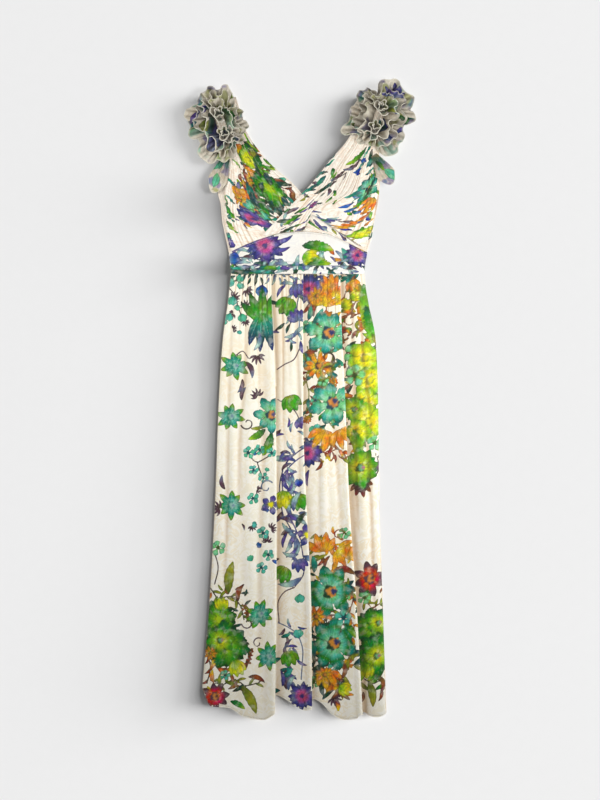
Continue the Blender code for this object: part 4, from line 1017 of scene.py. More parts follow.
def swirl_surface(rosette, along_stem, first_angle):
    """A swirl: a strip wound in a flat coil that opens and waves at its top."""
    centre = np.array(rosette.centre) + along_stem * heading(rosette.stem_turn)
    along = shares_of(SWIRL_STRIPS)
    up = shares_of(SWIRL_ROWS)[:, None]
    angle = first_angle + 2 * math.pi * SWIRL_TURNS * along
    foot, top, top_z = (
        mix(first, last, along)
        for first, last in (SWIRL_BASE_RADIUS, SWIRL_TOP_RADIUS, SWIRL_TOP_Z)
    )
    wave_share = SWIRL_INNER_WAVE_SHARE + (1 - SWIRL_INNER_WAVE_SHARE) * along
    wave_turn = 2 * math.pi * SWIRL_WAVES * along**SWIRL_WAVE_SPACING + 1.1 * np.sin(along * 11.0)
    loose = SWIRL_WAVE * wave_share * up**1.3
    radius = mix(foot, top, up**SWIRL_FLARE) + loose * np.cos(wave_turn)
    aside = loose * 0.32 * np.sin(wave_turn * 2)
    top_z = top_z - 2.4 * wave_share * (1 + np.cos(wave_turn * 0.71 + 1.0))
    z = mix(ROSETTE_BASE_Z, top_z, up)
    x = centre[0] + radius * np.cos(angle) - aside * np.sin(angle)
    y = centre[1] + radius * np.sin(angle) + aside * np.cos(angle)
    length = along * 2 * math.pi * SWIRL_TURNS * np.mean(top)
    return surface_of(x, y, z, length, up * np.mean(top_z))


def tail_surface(rosette):
    """A trailing petal: a fan from its gathered base to a round, wavy tip, with pleats that fade
    on the way."""
    base, tip = np.array(rosette.tail)
    length = np.linalg.norm(tip - base)
    ahead = (tip - base) / length
    beside = np.array([-ahead[1], ahead[0]])
    across = np.linspace(-1, 1, TAIL_STRIPS + 1)
    out = shares_of(TAIL_ROWS)[:, None]
    width = mix(TAIL_BASE_WIDTH, TAIL_SPREAD, np.sin(out * math.pi / 2))
    reach = length * out * (1 - TAIL_ROUND * across**2 * out)
    x, y = (base[k] + reach * ahead[k] + width * across * beside[k] for k in (0, 1))
    z = mix(TAIL_BASE_Z, TAIL_TIP_Z, out) + TAIL_WAVE * out * np.sin(across * math.pi * 2)
    z = z + 0.8 * np.sin(across * math.pi * 5) * (1 - out) ** 0.6 * np.minimum(out * 6, 1)
    return surface_of(x, y, z, width * across, -reach)


# ---- Print on a surface.


class PrintedCloth:
    """Two layers of print on a surface. Each point holds a colour and the signed distance in mm to
    the edge of what is printed there, which is negative inside. The material draws the edge where
    the distance passes 0, so it stays crisp between points."""

    def __init__(self, surface, inks):
        self.across = surface.across.ravel()
        self.along = surface.along.ravel()
        self.plan = surface.middle[..., :2].reshape(-1, 2)
        self.seen = surface.seen.ravel()
        self.inks = inks
        self.fill = np.full((self.across.size, 4), (*inks["mist"], FAR), np.float32)
        self.detail = self.fill.copy()

    def place_of(self, x, y):
        """Place on the flat cloth of the seen point nearest to (x, y), moved by what is left over."""
        apart = np.array([x, y]) - self.plan
        nearest = np.argmin((apart**2).sum(axis=1) + 1e6 * ~self.seen)
        return np.array([self.across[nearest], self.along[nearest]]) + apart[nearest]

    def near(self, place, reach):
        """Points within reach of a place on the flat cloth, and their offsets from it."""
        off_across = self.across - place[0]
        off_along = self.along - place[1]
        found = np.flatnonzero((np.abs(off_across) < reach) & (np.abs(off_along) < reach))
        return found, np.column_stack([off_across[found], off_along[found]])

    def lay(self, layer, found, distance, colour):
        """Lays one shape on a layer. Inside, it covers what is there; outside, it cuts what is there
        along its own edge, and lends its colour to bare cloth that it is nearest to. On another
        shape its edge is a soft one, SOFT_EDGE wide."""
        held = layer[found]
        on_shape = np.clip(0.5 - distance / SOFT_EDGE, 0, 1)
        share = np.where(held[:, 3] > 0, distance < held[:, 3], on_shape)[:, None]
        held[:, :3] = held[:, :3] * (1 - share) + colour * share
        held[:, 3] = np.minimum(np.maximum(held[:, 3], -distance), distance)
        layer[found] = held

    def wipe(self, found, distance):
        """Takes the detail off what a new shape covers."""
        self.detail[found, 3] = np.maximum(self.detail[found, 3], -distance)

    def petal(self, found, offset, start, length, width, turn, fullness, bend, inks, line, teeth=0):
        """A petal or leaf from start along turn. Its half width is a rounded sine of the share along
        it, its middle bends as a parabola, and its colour runs along it and darkens at its sides.
        A line ink adds a middle vein and side veins."""
        ahead = heading(turn)
        a = (offset - start) @ ahead
        b = (offset - start) @ np.array([-ahead[1], ahead[0]])
        share = np.clip(a / length, 0, 1)
        half = width / 2 * np.sin(math.pi * share**fullness) ** 0.75
        if teeth:
            half = half * (0.86 + 0.28 * np.mod(share * teeth, 1))
        aside = b - bend * length * share * (1 - share)
        beyond = np.maximum(np.maximum(-a, a - length), 0)
        distance = np.where(beyond > 0, np.hypot(beyond, aside), np.abs(aside) - half)
        distance = distance + 0.03 * width * np.sin(a * 0.42 + turn) * np.sin(b * 0.5 + 1.3)
        across = np.clip(np.abs(aside) / np.maximum(half, 1.0), 0, 1)
        stops = np.array([self.inks[name] for name in inks.split()])
        at = np.linspace(0, 1, len(stops))
        colour = np.stack([np.interp(share, at, part) for part in stops.T], axis=1)
        streak = 1 + 0.13 * np.sin(aside * 1.1 + share * 5) - 0.3 * across**3
        self.lay(self.fill, found, distance, colour * streak[:, None])
        self.wipe(found, distance)
        if line:
            spacing = max(length / 6, 7.0)
            slant = np.mod(a - 1.3 * np.abs(aside), spacing)
            side_vein = np.minimum(slant, spacing - slant) - 0.45
            vein = np.minimum(np.abs(aside) - 0.9 * (1 - share) - 0.2, side_vein)
            vein = np.maximum(np.maximum(vein, distance + 1.2), length * 0.06 - a)
            self.lay(self.detail, found, vein, 0.5 * colour + 0.5 * self.inks[line])

    def disc(self, layer, found, offset, radius, ink):
        """A roundish spot: three and seven soft lobes stand out of its rim."""
        turn = np.arctan2(offset[:, 1], offset[:, 0])
        lobes = 1 + 0.15 * np.sin(3 * turn + radius) + 0.1 * np.sin(7 * turn)
        self.lay(layer, found, np.hypot(*offset.T) - radius * lobes, self.inks[ink])

    def stroke(self, path, width, ink, taper=0.5):
        """A line of ink along a path on the flat cloth, thinner towards its end: the distance to the
        nearest of the path's short steps, less half the width there."""
        centre = (path.min(axis=0) + path.max(axis=0)) / 2
        found, offset = self.near(centre, np.ptp(path, axis=0).max() / 2 + 12)
        start, step = path[:-1] - centre, np.diff(path, axis=0)
        share = ((offset[:, None] - start) * step).sum(axis=2) / (step**2).sum(axis=1)
        share = np.clip(share, 0, 1)
        apart = np.linalg.norm(offset[:, None] - start - share[..., None] * step, axis=2)
        nearest = apart.argmin(axis=1)
        along = (nearest + share[np.arange(len(found)), nearest]) / len(step)
        distance = apart.min(axis=1) - np.maximum(width / 2 * (1 - taper * along), FINEST_LINE / 2)
        self.lay(self.fill, found, distance, self.inks[ink])
        self.wipe(found, distance)


def flower(cloth, style, place, size, turn):
    """A flower: petals all round, a ring of darker ones beneath if the style has it, and an eye."""
    found, offset = cloth.near(place, size * 1.15)
    step = 360 / style.petals
    start = style.start * size
    if style.under:
        inks = f"{style.under} {style.inks.split()[-1]}"
        for k in range(style.petals):
            angle = turn + (k + 0.5) * step
            cloth.petal(
                found, offset, start * heading(angle), size * 0.88 - start, size * style.width * 0.8,
                angle, 1.0, 0.0, inks, None,
            )
    for k in range(style.petals):
        angle = turn + k * step + 5 * math.sin(k * 2.1)
        length = size * (1 - 0.09 * math.sin(k * 1.7 + turn)) - start
        cloth.petal(
            found, offset, start * heading(angle), length, size * style.width, angle,
            style.fullness, 0.06 * math.sin(k * 3.0), style.inks, style.line, style.teeth,
        )
    for i, (ink, radius) in enumerate(style.eye):
        for layer in (cloth.fill, cloth.detail) if i == 0 else (cloth.detail,):
            cloth.disc(layer, found, offset - 0.08 * i * size * heading(turn), size * radius, ink)


def spray(cloth, style, place, size, turn):
    """A spray: petals that fan out from one point and bend away from its middle."""
    found, offset = cloth.near(place, size * 1.2)
    for side in sorted(np.linspace(-1, 1, style.petals), key=abs, reverse=True):
        cloth.petal(
            found, offset, 0, size * (1 - 0.16 * abs(side)), size * style.width,
            turn + side * style.spread / 2, style.fullness, style.bend * side, style.inks, style.line,
        )


def leaf(cloth, style, place, size, turn):
    """One leaf with its base at the place."""
    found, offset = cloth.near(place, size * 1.1)
    cloth.petal(
        found, offset, 0, size, size * style.width, turn, style.fullness, style.bend, style.inks,
        style.line, style.teeth,
    )


def scroll(cloth, ink, place, size, turn):
    """A curl: a stroke along a spiral whose radius shrinks evenly as it turns."""
    share = np.linspace(0, 1, 40)
    angle = math.radians(turn) + share * 1.7 * math.pi
    radius = size * (1 - 0.72 * share)
    path = place + np.column_stack([radius * np.cos(angle), radius * np.sin(angle)])
    cloth.stroke(path, size * 0.24, ink, taper=0.6)


def berries(cloth, ink, place, size, turn):
    """Berries in two rows along a short stem."""
    ahead = heading(turn)
    beside = np.array([-ahead[1], ahead[0]])
    cloth.stroke(np.linspace(place, place + size * ahead, 8), 2.2, ink)
    found, offset = cloth.near(place, size * 1.3)
    for k in range(9):
        spot = ahead * size * (0.16 + 0.1 * k) + beside * (5.0 - 0.3 * k) * (-1) ** k
        cloth.disc(cloth.fill, found, offset - spot, 2.9 - 0.12 * k, ink)


DRAWINGS = {
    **{name: (flower, style) for name, style in FLOWERS.items()},
    **{name: (spray, style) for name, style in SPRAYS.items()},
    **{name: (leaf, style) for name, style in LEAVES.items()},
    **{f"{ink}_scroll": (scroll, ink) for ink in ("bark", "slate", "plum", "olive", "rust")},
    "rust_berries": (berries, "rust"),
}


def draw(cloth, vines, motifs, side):
    """Draws vines with their leaves, then the motifs, on one piece of cloth. side is -1 on the
    back, where all of it is mirrored."""
    for ink, width, places, *leaves in vines:
        places = [cloth.place_of(side * x, y) for x, y in places]
        path = smooth_path(places, 10 * len(places))
        cloth.stroke(path, width, ink, taper=0.35)
        style, size, count = leaves or (None, 0, 0)
        for k in range(count):
            at = int((k + 0.6) / count * (len(path) - 2))
            ahead = path[at + 1] - path[at]
            turn = math.degrees(math.atan2(ahead[1], ahead[0])) + (-1) ** k * 42
            leaf(cloth, LEAVES[style], path[at], size, turn)
    for name, x, y, size, turn in motifs:
        drawing, style = DRAWINGS[name]
        drawing(cloth, style, cloth.place_of(side * x, y), size, turn if side > 0 else 180 - turn)


def scattered(rows):
    """Motifs of scatter rows: places, sizes and turns follow multiples of ratios that never line up."""
    motifs = []
    for names, (x, last_x), (y, last_y), count, size, turn in rows:
        names = names.split()
        for k in range(count):
            across, down = (0.5 + k * SPREAD_ACROSS) % 1, (0.5 + k * SPREAD_DOWN) % 1
            place = mix(x, last_x, across), mix(y, last_y, down)
            motifs.append(
                (names[k % len(names)], *place, size * (0.75 + 0.5 * down), turn + SPREAD_TURN * k)
            )
    return tuple(motifs)


# ---- Shells.


def normals_of(middle, wraps):
    """Unit normals of a grid of points, from the differences along its rows and columns."""
    if wraps:
        across = np.roll(middle, -1, axis=1) - np.roll(middle, 1, axis=1)
    else:
        across = np.gradient(middle, axis=1)
    normal = np.cross(across, np.gradient(middle, axis=0))
    return normal / np.maximum(np.linalg.norm(normal, axis=2, keepdims=True), 1e-9)


def facing_up(surface, wraps):
    """The surface with its columns turned round if its normals point down."""
    if normals_of(surface.middle, wraps)[..., 2].mean() > 0:
        return surface
    return Surface(*(grid[:, ::-1] for grid in surface))


def painted_hollow_shade(surface, wraps):
    """Strength of the painted shade in the hollows, 0 to 1: how deep each point lies between those beside
    it, the mean height of its neighbours across the cloth, less its own, over the full depth; the larger
    of a narrow and a wide one."""
    height = surface.middle[..., 2]
    shade = np.zeros(height.shape)
    for reach, depth in PAINTED_SHADE_REACHES:
        wide = np.pad(height, ((0, 0), (reach, reach)), mode="wrap" if wraps else "edge")
        mean = sum(wide[:, k : k + height.shape[1]] for k in range(2 * reach + 1)) / (2 * reach + 1)
        shade = np.maximum(shade, (mean - height) / depth)
    return np.clip(shade, 0, 1)


def painted_shade_beside_folds(surface):
    """Painted shade on the cloth that lies beside each deep fold of the skirt: it fades with the
    distance from the fold's line, and comes and goes down the skirt."""
    x, y, _ = np.moveaxis(surface.middle, 2, 0)
    shade = np.zeros(x.shape)
    for k, (line, *_) in enumerate(FOLDS):
        beyond = x - down_line(SKIRT, line, y) - 2.0
        strength = 0.85 + 0.4 * np.sin(y / 71.0 + 2.1 * k)
        shade = shade + strength * np.exp(-np.abs(beyond) / FOLD_SHADE_WIDTH) * (beyond > 0)
    return shade * surface.seen


def painted_foot_shade(surface):
    """Painted shade of ruffled cloth: dark at its foot, none at its edge."""
    return np.linspace(1, 0, len(surface.across))[:, None] ** 1.6


def from_hem(surface):
    """Distance of each point from the lowest edge of its column."""
    return np.abs(surface.along - surface.along[-1:])


def from_ends(surface):
    """Distance of each point from the first or last row, whichever is nearer."""
    return np.minimum(np.abs(surface.along - surface.along[:1]), from_hem(surface))


def from_sides(surface):
    """Distance of each point from the first or last column, whichever is nearer."""
    first, last = surface.across[:, :1], surface.across[:, -1:]
    return np.minimum(np.abs(surface.across - first), np.abs(surface.across - last))


def mesh_of(name, points, polygons):
    """A mesh from points in mm and arrays of polygons, each array with one number of corners."""
    sizes = np.concatenate([np.full(len(group), group.shape[1]) for group in polygons])
    corners = np.concatenate([group.ravel() for group in polygons])
    mesh = bpy.data.meshes.new(name)
    mesh.vertices.add(len(points))
    mesh.vertices.foreach_set("co", (points * MM).astype(np.float32).ravel())
    mesh.loops.add(len(corners))
    mesh.loops.foreach_set("vertex_index", corners.astype(np.int32))
    mesh.polygons.add(len(sizes))
    mesh.polygons.foreach_set("loop_start", (np.cumsum(sizes) - sizes).astype(np.int32))
    mesh.update(calc_edges=True)
    mesh.validate()
    return mesh


def placed(name, data):
    """A new object of the scene, at the origin."""
    made = bpy.data.objects.new(name, data)
    bpy.context.scene.collection.objects.link(made)
    return made


def shell_of(name, surface, wall, wraps, inner_rows):
    """Closed shell round a surface: its outer points at full fineness, its inner ones on every
    inner_rows-th row, and rims between them. wall is one thickness in mm or one for each row.
    Returns the object and the numbers of the outer and inner points in the surface."""
    rows, columns = surface.across.shape
    half = np.broadcast_to(np.atleast_1d(wall), (rows,))[:, None, None] / 2
    offset = normals_of(surface.middle, wraps) * half
    kept = np.arange(0, rows, inner_rows)
    inner = (surface.middle - offset)[kept]
    points = np.concatenate([(surface.middle + offset).reshape(-1, 3), inner.reshape(-1, 3)])
    source = np.arange(rows * columns).reshape(rows, columns)

    top = source
    under = np.arange(len(kept) * columns).reshape(len(kept), columns) + rows * columns
    if wraps:
        top, under = (np.concatenate([grid, grid[:, :1]], axis=1) for grid in (top, under))
    polygons = []
    for row, beside in ((top[:-1], top[1:]), (under[1:], under[:-1])):
        corners = (row[:, :-1], row[:, 1:], beside[:, 1:], beside[:, :-1])
        polygons.append(np.stack(corners, axis=-1).reshape(-1, 4))
    for rim, low in ((top[0], under[0]), (top[-1, ::-1], under[-1, ::-1])):
        polygons.append(np.stack([rim[:-1], low[:-1], low[1:], rim[1:]], axis=-1))
    if not wraps:
        for rim, low in ((top[::-1, 0], under[::-1, 0]), (top[:, -1], under[:, -1])):
            steps = [rim[k : k + len(rim) - 1 : inner_rows] for k in range(inner_rows + 1)]
            polygons.append(np.stack([steps[0], low[:-1], low[1:], *steps[:0:-1]], axis=-1))
    mesh = mesh_of(name, points, polygons)
    mesh.shade_smooth()
    mesh.set_sharp_from_angle(angle=math.radians(SHARP_ANGLE))
    return placed(name, mesh), np.concatenate([source.ravel(), source[kept].ravel()])


def give_values(mesh, source, surface, colours, numbers):
    """Puts colours and numbers on a mesh by name, and the places on the flat cloth as its UV map.
    source numbers the surface's point that each of the mesh's points comes from."""
    for name, layer in colours.items():
        attribute = mesh.attributes.new(name, "FLOAT_COLOR", "POINT")
        attribute.data.foreach_set("color", layer[source].astype(np.float32).ravel())
    for name, values in numbers.items():
        values = np.broadcast_to(values, surface.across.shape).ravel()
        attribute = mesh.attributes.new(name, "FLOAT", "POINT")
        attribute.data.foreach_set("value", values[source].astype(np.float32))
    places = np.column_stack([surface.across.ravel(), surface.along.ravel()])[source] * MM
    corners = np.empty(len(mesh.loops), np.int32)
    mesh.loops.foreach_get("vertex_index", corners)
    flat_map = mesh.uv_layers.new(name="flat_cloth")
    flat_map.data.foreach_set("uv", places[corners].astype(np.float32).ravel())


def flat_area(surface, wraps):
    """Area of the flat cloth of a surface, in square metres, from the middle points' triangles."""
    p = surface.middle
    if wraps:
        p = np.concatenate([p, p[:, :1]], axis=1)
    one = np.cross(p[:-1, 1:] - p[:-1, :-1], p[1:, :-1] - p[:-1, :-1])
    two = np.cross(p[:-1, 1:] - p[1:, 1:], p[1:, :-1] - p[1:, 1:])
    return (np.linalg.norm(one, axis=2).sum() + np.linalg.norm(two, axis=2).sum()) / 2 * MM**2


# ---- Materials.

BAND_SCALE = 0.314  # scale of a wave texture whose bands are one unit apart
WARM_TINT = (1.0, 0.935, 0.86)
# Soft patches of a noise: its scale and detail, where a patch starts and is whole, and the values
# there if they aren't 0 and 1.
WARM_PATCHES = (7.0, 2.0, 0.4, 0.66)
HUE_PATCHES = (42.0, 3.0, 0.3, 0.7, 0.465, 0.53)
WORN_PATCHES = (64.0, 2.0, 0.48, 0.72, 0.0, 0.2)
WASHED_PATCHES = (95.0, 3.0, 0.3, 0.7, 0.8, 1.22)
PAPER_GRAIN = (40.0, 2.0, 0.2, 0.8, 0.992, 1.0)
WASH_NOISE = {"Scale": 26.0, "Detail": 2.0}
WASH_APART = 3.1
WASH_EDGE = (0.56, 0.62, 0.0, 0.66)
# Jacquard figure: the noise that bends it and how far in metres, the form of its cells, how many
# ribs to a cell, and the edges of its stems, fronds, ribs and cells.
FIGURE_BEND = (38.0, 0.016)
CELL_FORM = {"Exponent": 0.62, "Randomness": 0.85}
RIBS_A_CELL = 3.2
FROND_PLACE = 0.11
STEM_EDGE = (0.03, 0.018)
FROND_EDGE = (0.035, 0.02)
RIB_EDGE = (0.06, 0.14)
CELL_EDGE = (0.5, 0.4)
HEM_SHINE = (0.24, -0.3, 0.35, 1.0)  # the figure is strongest towards the hem
FIGURE_ROUGHNESS = (0.0, 1.0, 0.66, 0.5)
# Print and stitches, in mm.
RIM_SHADE = (-1.5, -0.3, 1.0, 0.58)
FILL_EDGE = (0.25, -0.25)
DETAIL_EDGE = (0.25, -0.25, 0.0, 0.8)
STITCH_EDGE = (0.4, 0.25)
DASH_EDGE = (0.25, 0.4)
SEAM_ROLL = (0.2, 1.2)
EDGE_SHARE = 0.8
PAINTED_SHADE_SHARE = 0.85
# Heights in the bump, as shares of the relief.
WEAVE_HEIGHT = 0.1
FIGURE_HEIGHT = 0.12
CRUMPLES = (55.0, 3.0)
CRUMPLE_HEIGHT = 1.6
SEAM_HEIGHT = 0.8
STITCH_HEIGHT = 0.9


class MaterialNodes:
    """A new material and short calls that add nodes to it."""

    def __init__(self, name):
        self.material = bpy.data.materials.new(name)
        self.material.use_nodes = True
        self.tree = self.material.node_tree
        self.shader = self.tree.nodes["Principled BSDF"].inputs

    def finished(self, **inputs):
        """The material, with its shader's inputs given by name."""
        for name, value in inputs.items():
            self.put(self.shader[name.replace("_", " ")], value)
        return self.material

    def put(self, socket, value):
        """Gives an input a number, a colour or another node's output."""
        if isinstance(value, bpy.types.NodeSocket):
            self.tree.links.new(value, socket)
        else:
            socket.default_value = (*value[:3], 1.0) if socket.type == "RGBA" else value

    def add(self, kind, inputs=(), **settings):
        """Outputs of a new node, with its inputs by name or number."""
        made = self.tree.nodes.new(f"ShaderNode{kind}")
        for name, value in settings.items():
            setattr(made, name, value)
        for name, value in dict(inputs).items():
            self.put(made.inputs[name], value)
        return made.outputs

    def calculate(self, operation, first, second=0.5, third=0.5):
        """Output of a Math node."""
        return self.add("Math", {0: first, 1: second, 2: third}, operation=operation)[0]

    def product(self, first, second):
        """Two values, multiplied."""
        return self.calculate("MULTIPLY", first, second)

    def distance(self, first, second):
        """How far two values are apart."""
        return self.calculate("ABSOLUTE", self.calculate("SUBTRACT", first, second))

    def between(self, value, low, high, to_low=0.0, to_high=1.0):
        """Smooth step of a value from low to high, as a share or between two numbers."""
        inputs = {"Value": value, "From Min": low, "From Max": high, "To Min": to_low, "To Max": to_high}
        return self.add("MapRange", inputs, interpolation_type="SMOOTHSTEP")[0]

    def mixed(self, share, first, second, blend="MIX"):
        """Output of a colour mix, from the first at share 0 to the second at share 1."""
        inputs = {0: share, 6: first, 7: second}
        return self.add("Mix", inputs, data_type="RGBA", blend_type=blend)[2]

    def dimmed(self, colour, value):
        """A colour times a number."""
        grey = self.add("CombineColor", {0: value, 1: value, 2: value})[0]
        return self.mixed(1.0, colour, grey, "MULTIPLY")

    def noise(self, vector, scale, detail):
        """Outputs of a noise."""
        return self.add("TexNoise", {"Vector": vector, "Scale": scale, "Detail": detail})

    def patches(self, vector, scale, detail, *steps):
        """Soft patches of a noise."""
        return self.between(self.noise(vector, scale, detail)[0], *steps)

    def bands(self, vector, pitch, direction, distortion=0.0):
        """Soft bands at a pitch in metres."""
        inputs = {"Vector": vector, "Scale": BAND_SCALE / pitch, "Distortion": distortion}
        return self.add("TexWave", inputs, wave_type="BANDS", bands_direction=direction)["Fac"]

    def attribute(self, name):
        """Outputs of a vertex attribute."""
        return self.add("Attribute", attribute_name=name)


def cloth_material(name, ground, figure, painted_shade_tint, figure_pitch, relief, sheen, washes=()):
    """Printed cloth. A jacquard figure of leaf-shaped cells and their ribs shines against the
    ground; the print lies over both, cut off where its signed distance passes 0; a weave of two
    crossed waves and soft crumples give the bump."""
    sizes = cloth_sizes()
    nodes = MaterialNodes(name)
    between, mixed, patches, product = nodes.between, nodes.mixed, nodes.patches, nodes.product
    place = nodes.add("UVMap", uv_map="flat_cloth")[0]

    # The figure.
    scale, bend = FIGURE_BEND
    shift = {0: nodes.noise(place, scale, 1.0)["Color"], 1: (0.5, 0.5, 0.5)}
    shift = nodes.add("VectorMath", shift, operation="SUBTRACT")[0]
    shift = nodes.add("VectorMath", {0: shift, "Scale": bend}, operation="SCALE")[0]
    bent = nodes.add("VectorMath", {0: place, 1: shift}, operation="ADD")[0]
    cells = nodes.add(
        "TexVoronoi", {"Vector": bent, "Scale": 1 / figure_pitch, **CELL_FORM},
        voronoi_dimensions="2D", distance="MINKOWSKI",
    )["Distance"]
    ribs = nodes.add(
        "TexVoronoi", {"Vector": bent, "Scale": RIBS_A_CELL / figure_pitch, "Randomness": 0.9},
        voronoi_dimensions="2D", feature="DISTANCE_TO_EDGE",
    )["Distance"]
    contour = nodes.distance(nodes.noise(bent, 0.8 / figure_pitch, 1.0)[0], 0.5)
    fronds = between(nodes.distance(contour, FROND_PLACE), *FROND_EDGE)
    fronds = product(fronds, between(ribs, *RIB_EDGE))
    jacquard = nodes.calculate("MAXIMUM", between(contour, *STEM_EDGE), fronds)
    jacquard = nodes.calculate("MAXIMUM", jacquard, between(cells, *CELL_EDGE))
    towards_hem = nodes.add("SeparateXYZ", {0: place})[1]
    jacquard = product(jacquard, between(towards_hem, *HEM_SHINE))

    # The ground.
    warm_ground = mixed(1.0, ground, WARM_TINT, "MULTIPLY")
    base = mixed(patches(place, *WARM_PATCHES), ground, warm_ground)
    # The figure's colour is its woven pattern, lighter than the ground partly as painted sheen.
    base = mixed(jacquard, base, figure)
    for k, wash in enumerate(washes):
        patch = {"Vector": place, "W": WASH_APART * k, **WASH_NOISE}
        patch = nodes.add("TexNoise", patch, noise_dimensions="4D")[0]
        base = mixed(between(patch, *WASH_EDGE), base, wash)

    # The print.
    fill = nodes.attribute("print_fill")
    detail = nodes.attribute("print_detail")
    inked = {"Hue": patches(place, *HUE_PATCHES), "Saturation": 1.08, "Color": fill["Color"]}
    inked = nodes.add("HueSaturation", inked)[0]
    inked = mixed(patches(bent, *WORN_PATCHES), inked, figure)
    washed = patches(place, *WASHED_PATCHES)
    inked = nodes.dimmed(inked, nodes.calculate("MULTIPLY_ADD", jacquard, 0.1, washed))
    inked = nodes.dimmed(inked, between(fill["Alpha"], *RIM_SHADE))
    fill_share = between(fill["Alpha"], *FILL_EDGE)
    colour = mixed(fill_share, base, inked)
    colour = mixed(product(between(detail["Alpha"], *DETAIL_EDGE), fill_share), colour, detail["Color"])

    # Rolled edges, stitches, and painted shade in the hollows.
    edge_share = product(nodes.attribute("rolled_edge")["Fac"], EDGE_SHARE)
    colour = mixed(edge_share, colour, sizes.edge)
    from_line = nodes.distance(nodes.attribute("sewn_edge")["Fac"], STITCH_LINE)
    dashes = between(nodes.bands(place, STITCH_PITCH * MM, "DIAGONAL"), *DASH_EDGE)
    stitch = product(between(from_line, *STITCH_EDGE), dashes)
    colour = mixed(stitch, colour, sizes.edge)
    # Painted shade: the colour darkens towards its tint in the hollows of the cloth and at the foot of
    # the rosettes.
    hollow = product(nodes.attribute("hollow")["Fac"], PAINTED_SHADE_SHARE)
    colour = mixed(hollow, colour, mixed(1.0, colour, painted_shade_tint, "MULTIPLY"))

    # The relief.
    weave = product(*(nodes.bands(place, sizes.weave_pitch, way, 0.4) for way in "XY"))
    height = product(jacquard, FIGURE_HEIGHT)
    for layer, share in (
        (weave, WEAVE_HEIGHT),
        (nodes.noise(place, *CRUMPLES)[0], CRUMPLE_HEIGHT),
        (between(from_line, *SEAM_ROLL), SEAM_HEIGHT),
        (stitch, STITCH_HEIGHT),
    ):
        height = nodes.calculate("MULTIPLY_ADD", layer, share, height)
    roughness = between(jacquard, *FIGURE_ROUGHNESS)
    bump = nodes.add("Bump", {"Height": height, "Strength": 1.0, "Distance": relief})[0]
    return nodes.finished(
        Base_Color=colour, Roughness=roughness, Sheen_Weight=sheen, Sheen_Roughness=0.45,
        Specular_IOR_Level=0.35, Normal=bump,
    )


def floor_material(colour):
    """Plain pale paper: an even colour with a faint grain."""
    nodes = MaterialNodes("pale_paper")
    where = nodes.add("TexCoord")["Object"]
    paper = nodes.dimmed(colour, nodes.patches(where, *PAPER_GRAIN))
    return nodes.finished(Base_Color=paper, Roughness=0.9, Specular_IOR_Level=0.1)


# ---- What a user may change.


def colour_choice(name, description, *parts):
    """A colour property with an sRGB default, each part from 0 to 255, kept as a linear colour."""
    part = np.array(parts) / 255
    default = tuple(np.where(part <= 0.04045, part / 12.92, ((part + 0.055) / 1.055) ** 2.4))
    return bpy.props.FloatVectorProperty(
        name=name, description=description, subtype="COLOR", size=3, min=0.0, max=1.0, default=default
    )


def length_choice(name, description, default, **limits):
    """A length property in metres."""
    return bpy.props.FloatProperty(
        name=name, description=description, default=default, unit="LENGTH", **limits
    )


class MaxiDressCloth(bpy.types.PropertyGroup):
    """Sizes and ground colours of the cloth, the figure's colour, which also paints its sheen, and the
    tints of its painted shade.
    """

    wall: length_choice("Cloth", "Thickness of the dress cloth", 0.0008, min=0.0)
    rosette_wall: length_choice("Rosette cloth", "Thickness of the rosettes' cloth", 0.0005, min=0.0)
    bead: length_choice("Rolled edge", "Thickness of the rosettes' rolled edges", 0.0015, min=0.0)
    weave_pitch: length_choice("Weave", "Distance between threads of the weave", 0.0008, min=0.0)
    figure_pitch: length_choice("Jacquard", "Distance between the jacquard's leaves", 0.03, min=0.0)
    ground: colour_choice("Ground", "Matte ground of the jacquard", 248, 243, 223)
    # The figure's colour: a woven pattern, painted lighter partly to stand for its sheen.
    figure: colour_choice("Figure", "Shining figure of the jacquard", 253, 249, 236)
    ivory: colour_choice("Bodice ground", "Ground of the bodice", 247, 236, 222)
    cool_white: colour_choice("Midriff ground", "Ground of the midriff", 237, 236, 232)
    taupe: colour_choice("Rosette ground", "Ground of the rosettes", 205, 196, 178)
    taupe_figure: colour_choice("Rosette figure", "Lighter threads of the rosettes", 226, 219, 202)
    # Tint of the painted shade in the dress cloth's hollows.
    hollow: colour_choice("Hollows", "Tint of the dress cloth in its hollows", 208, 184, 160)
    # Tint of the painted shade at the foot of the rosettes' cloth.
    rosette_hollow: colour_choice(
        "Rosette hollows", "Tint of the rosettes' cloth at its foot", 112, 104, 92
    )
    edge: colour_choice("Rolled edge colour", "Thread that rolls the rosettes' edges", 226, 221, 204)


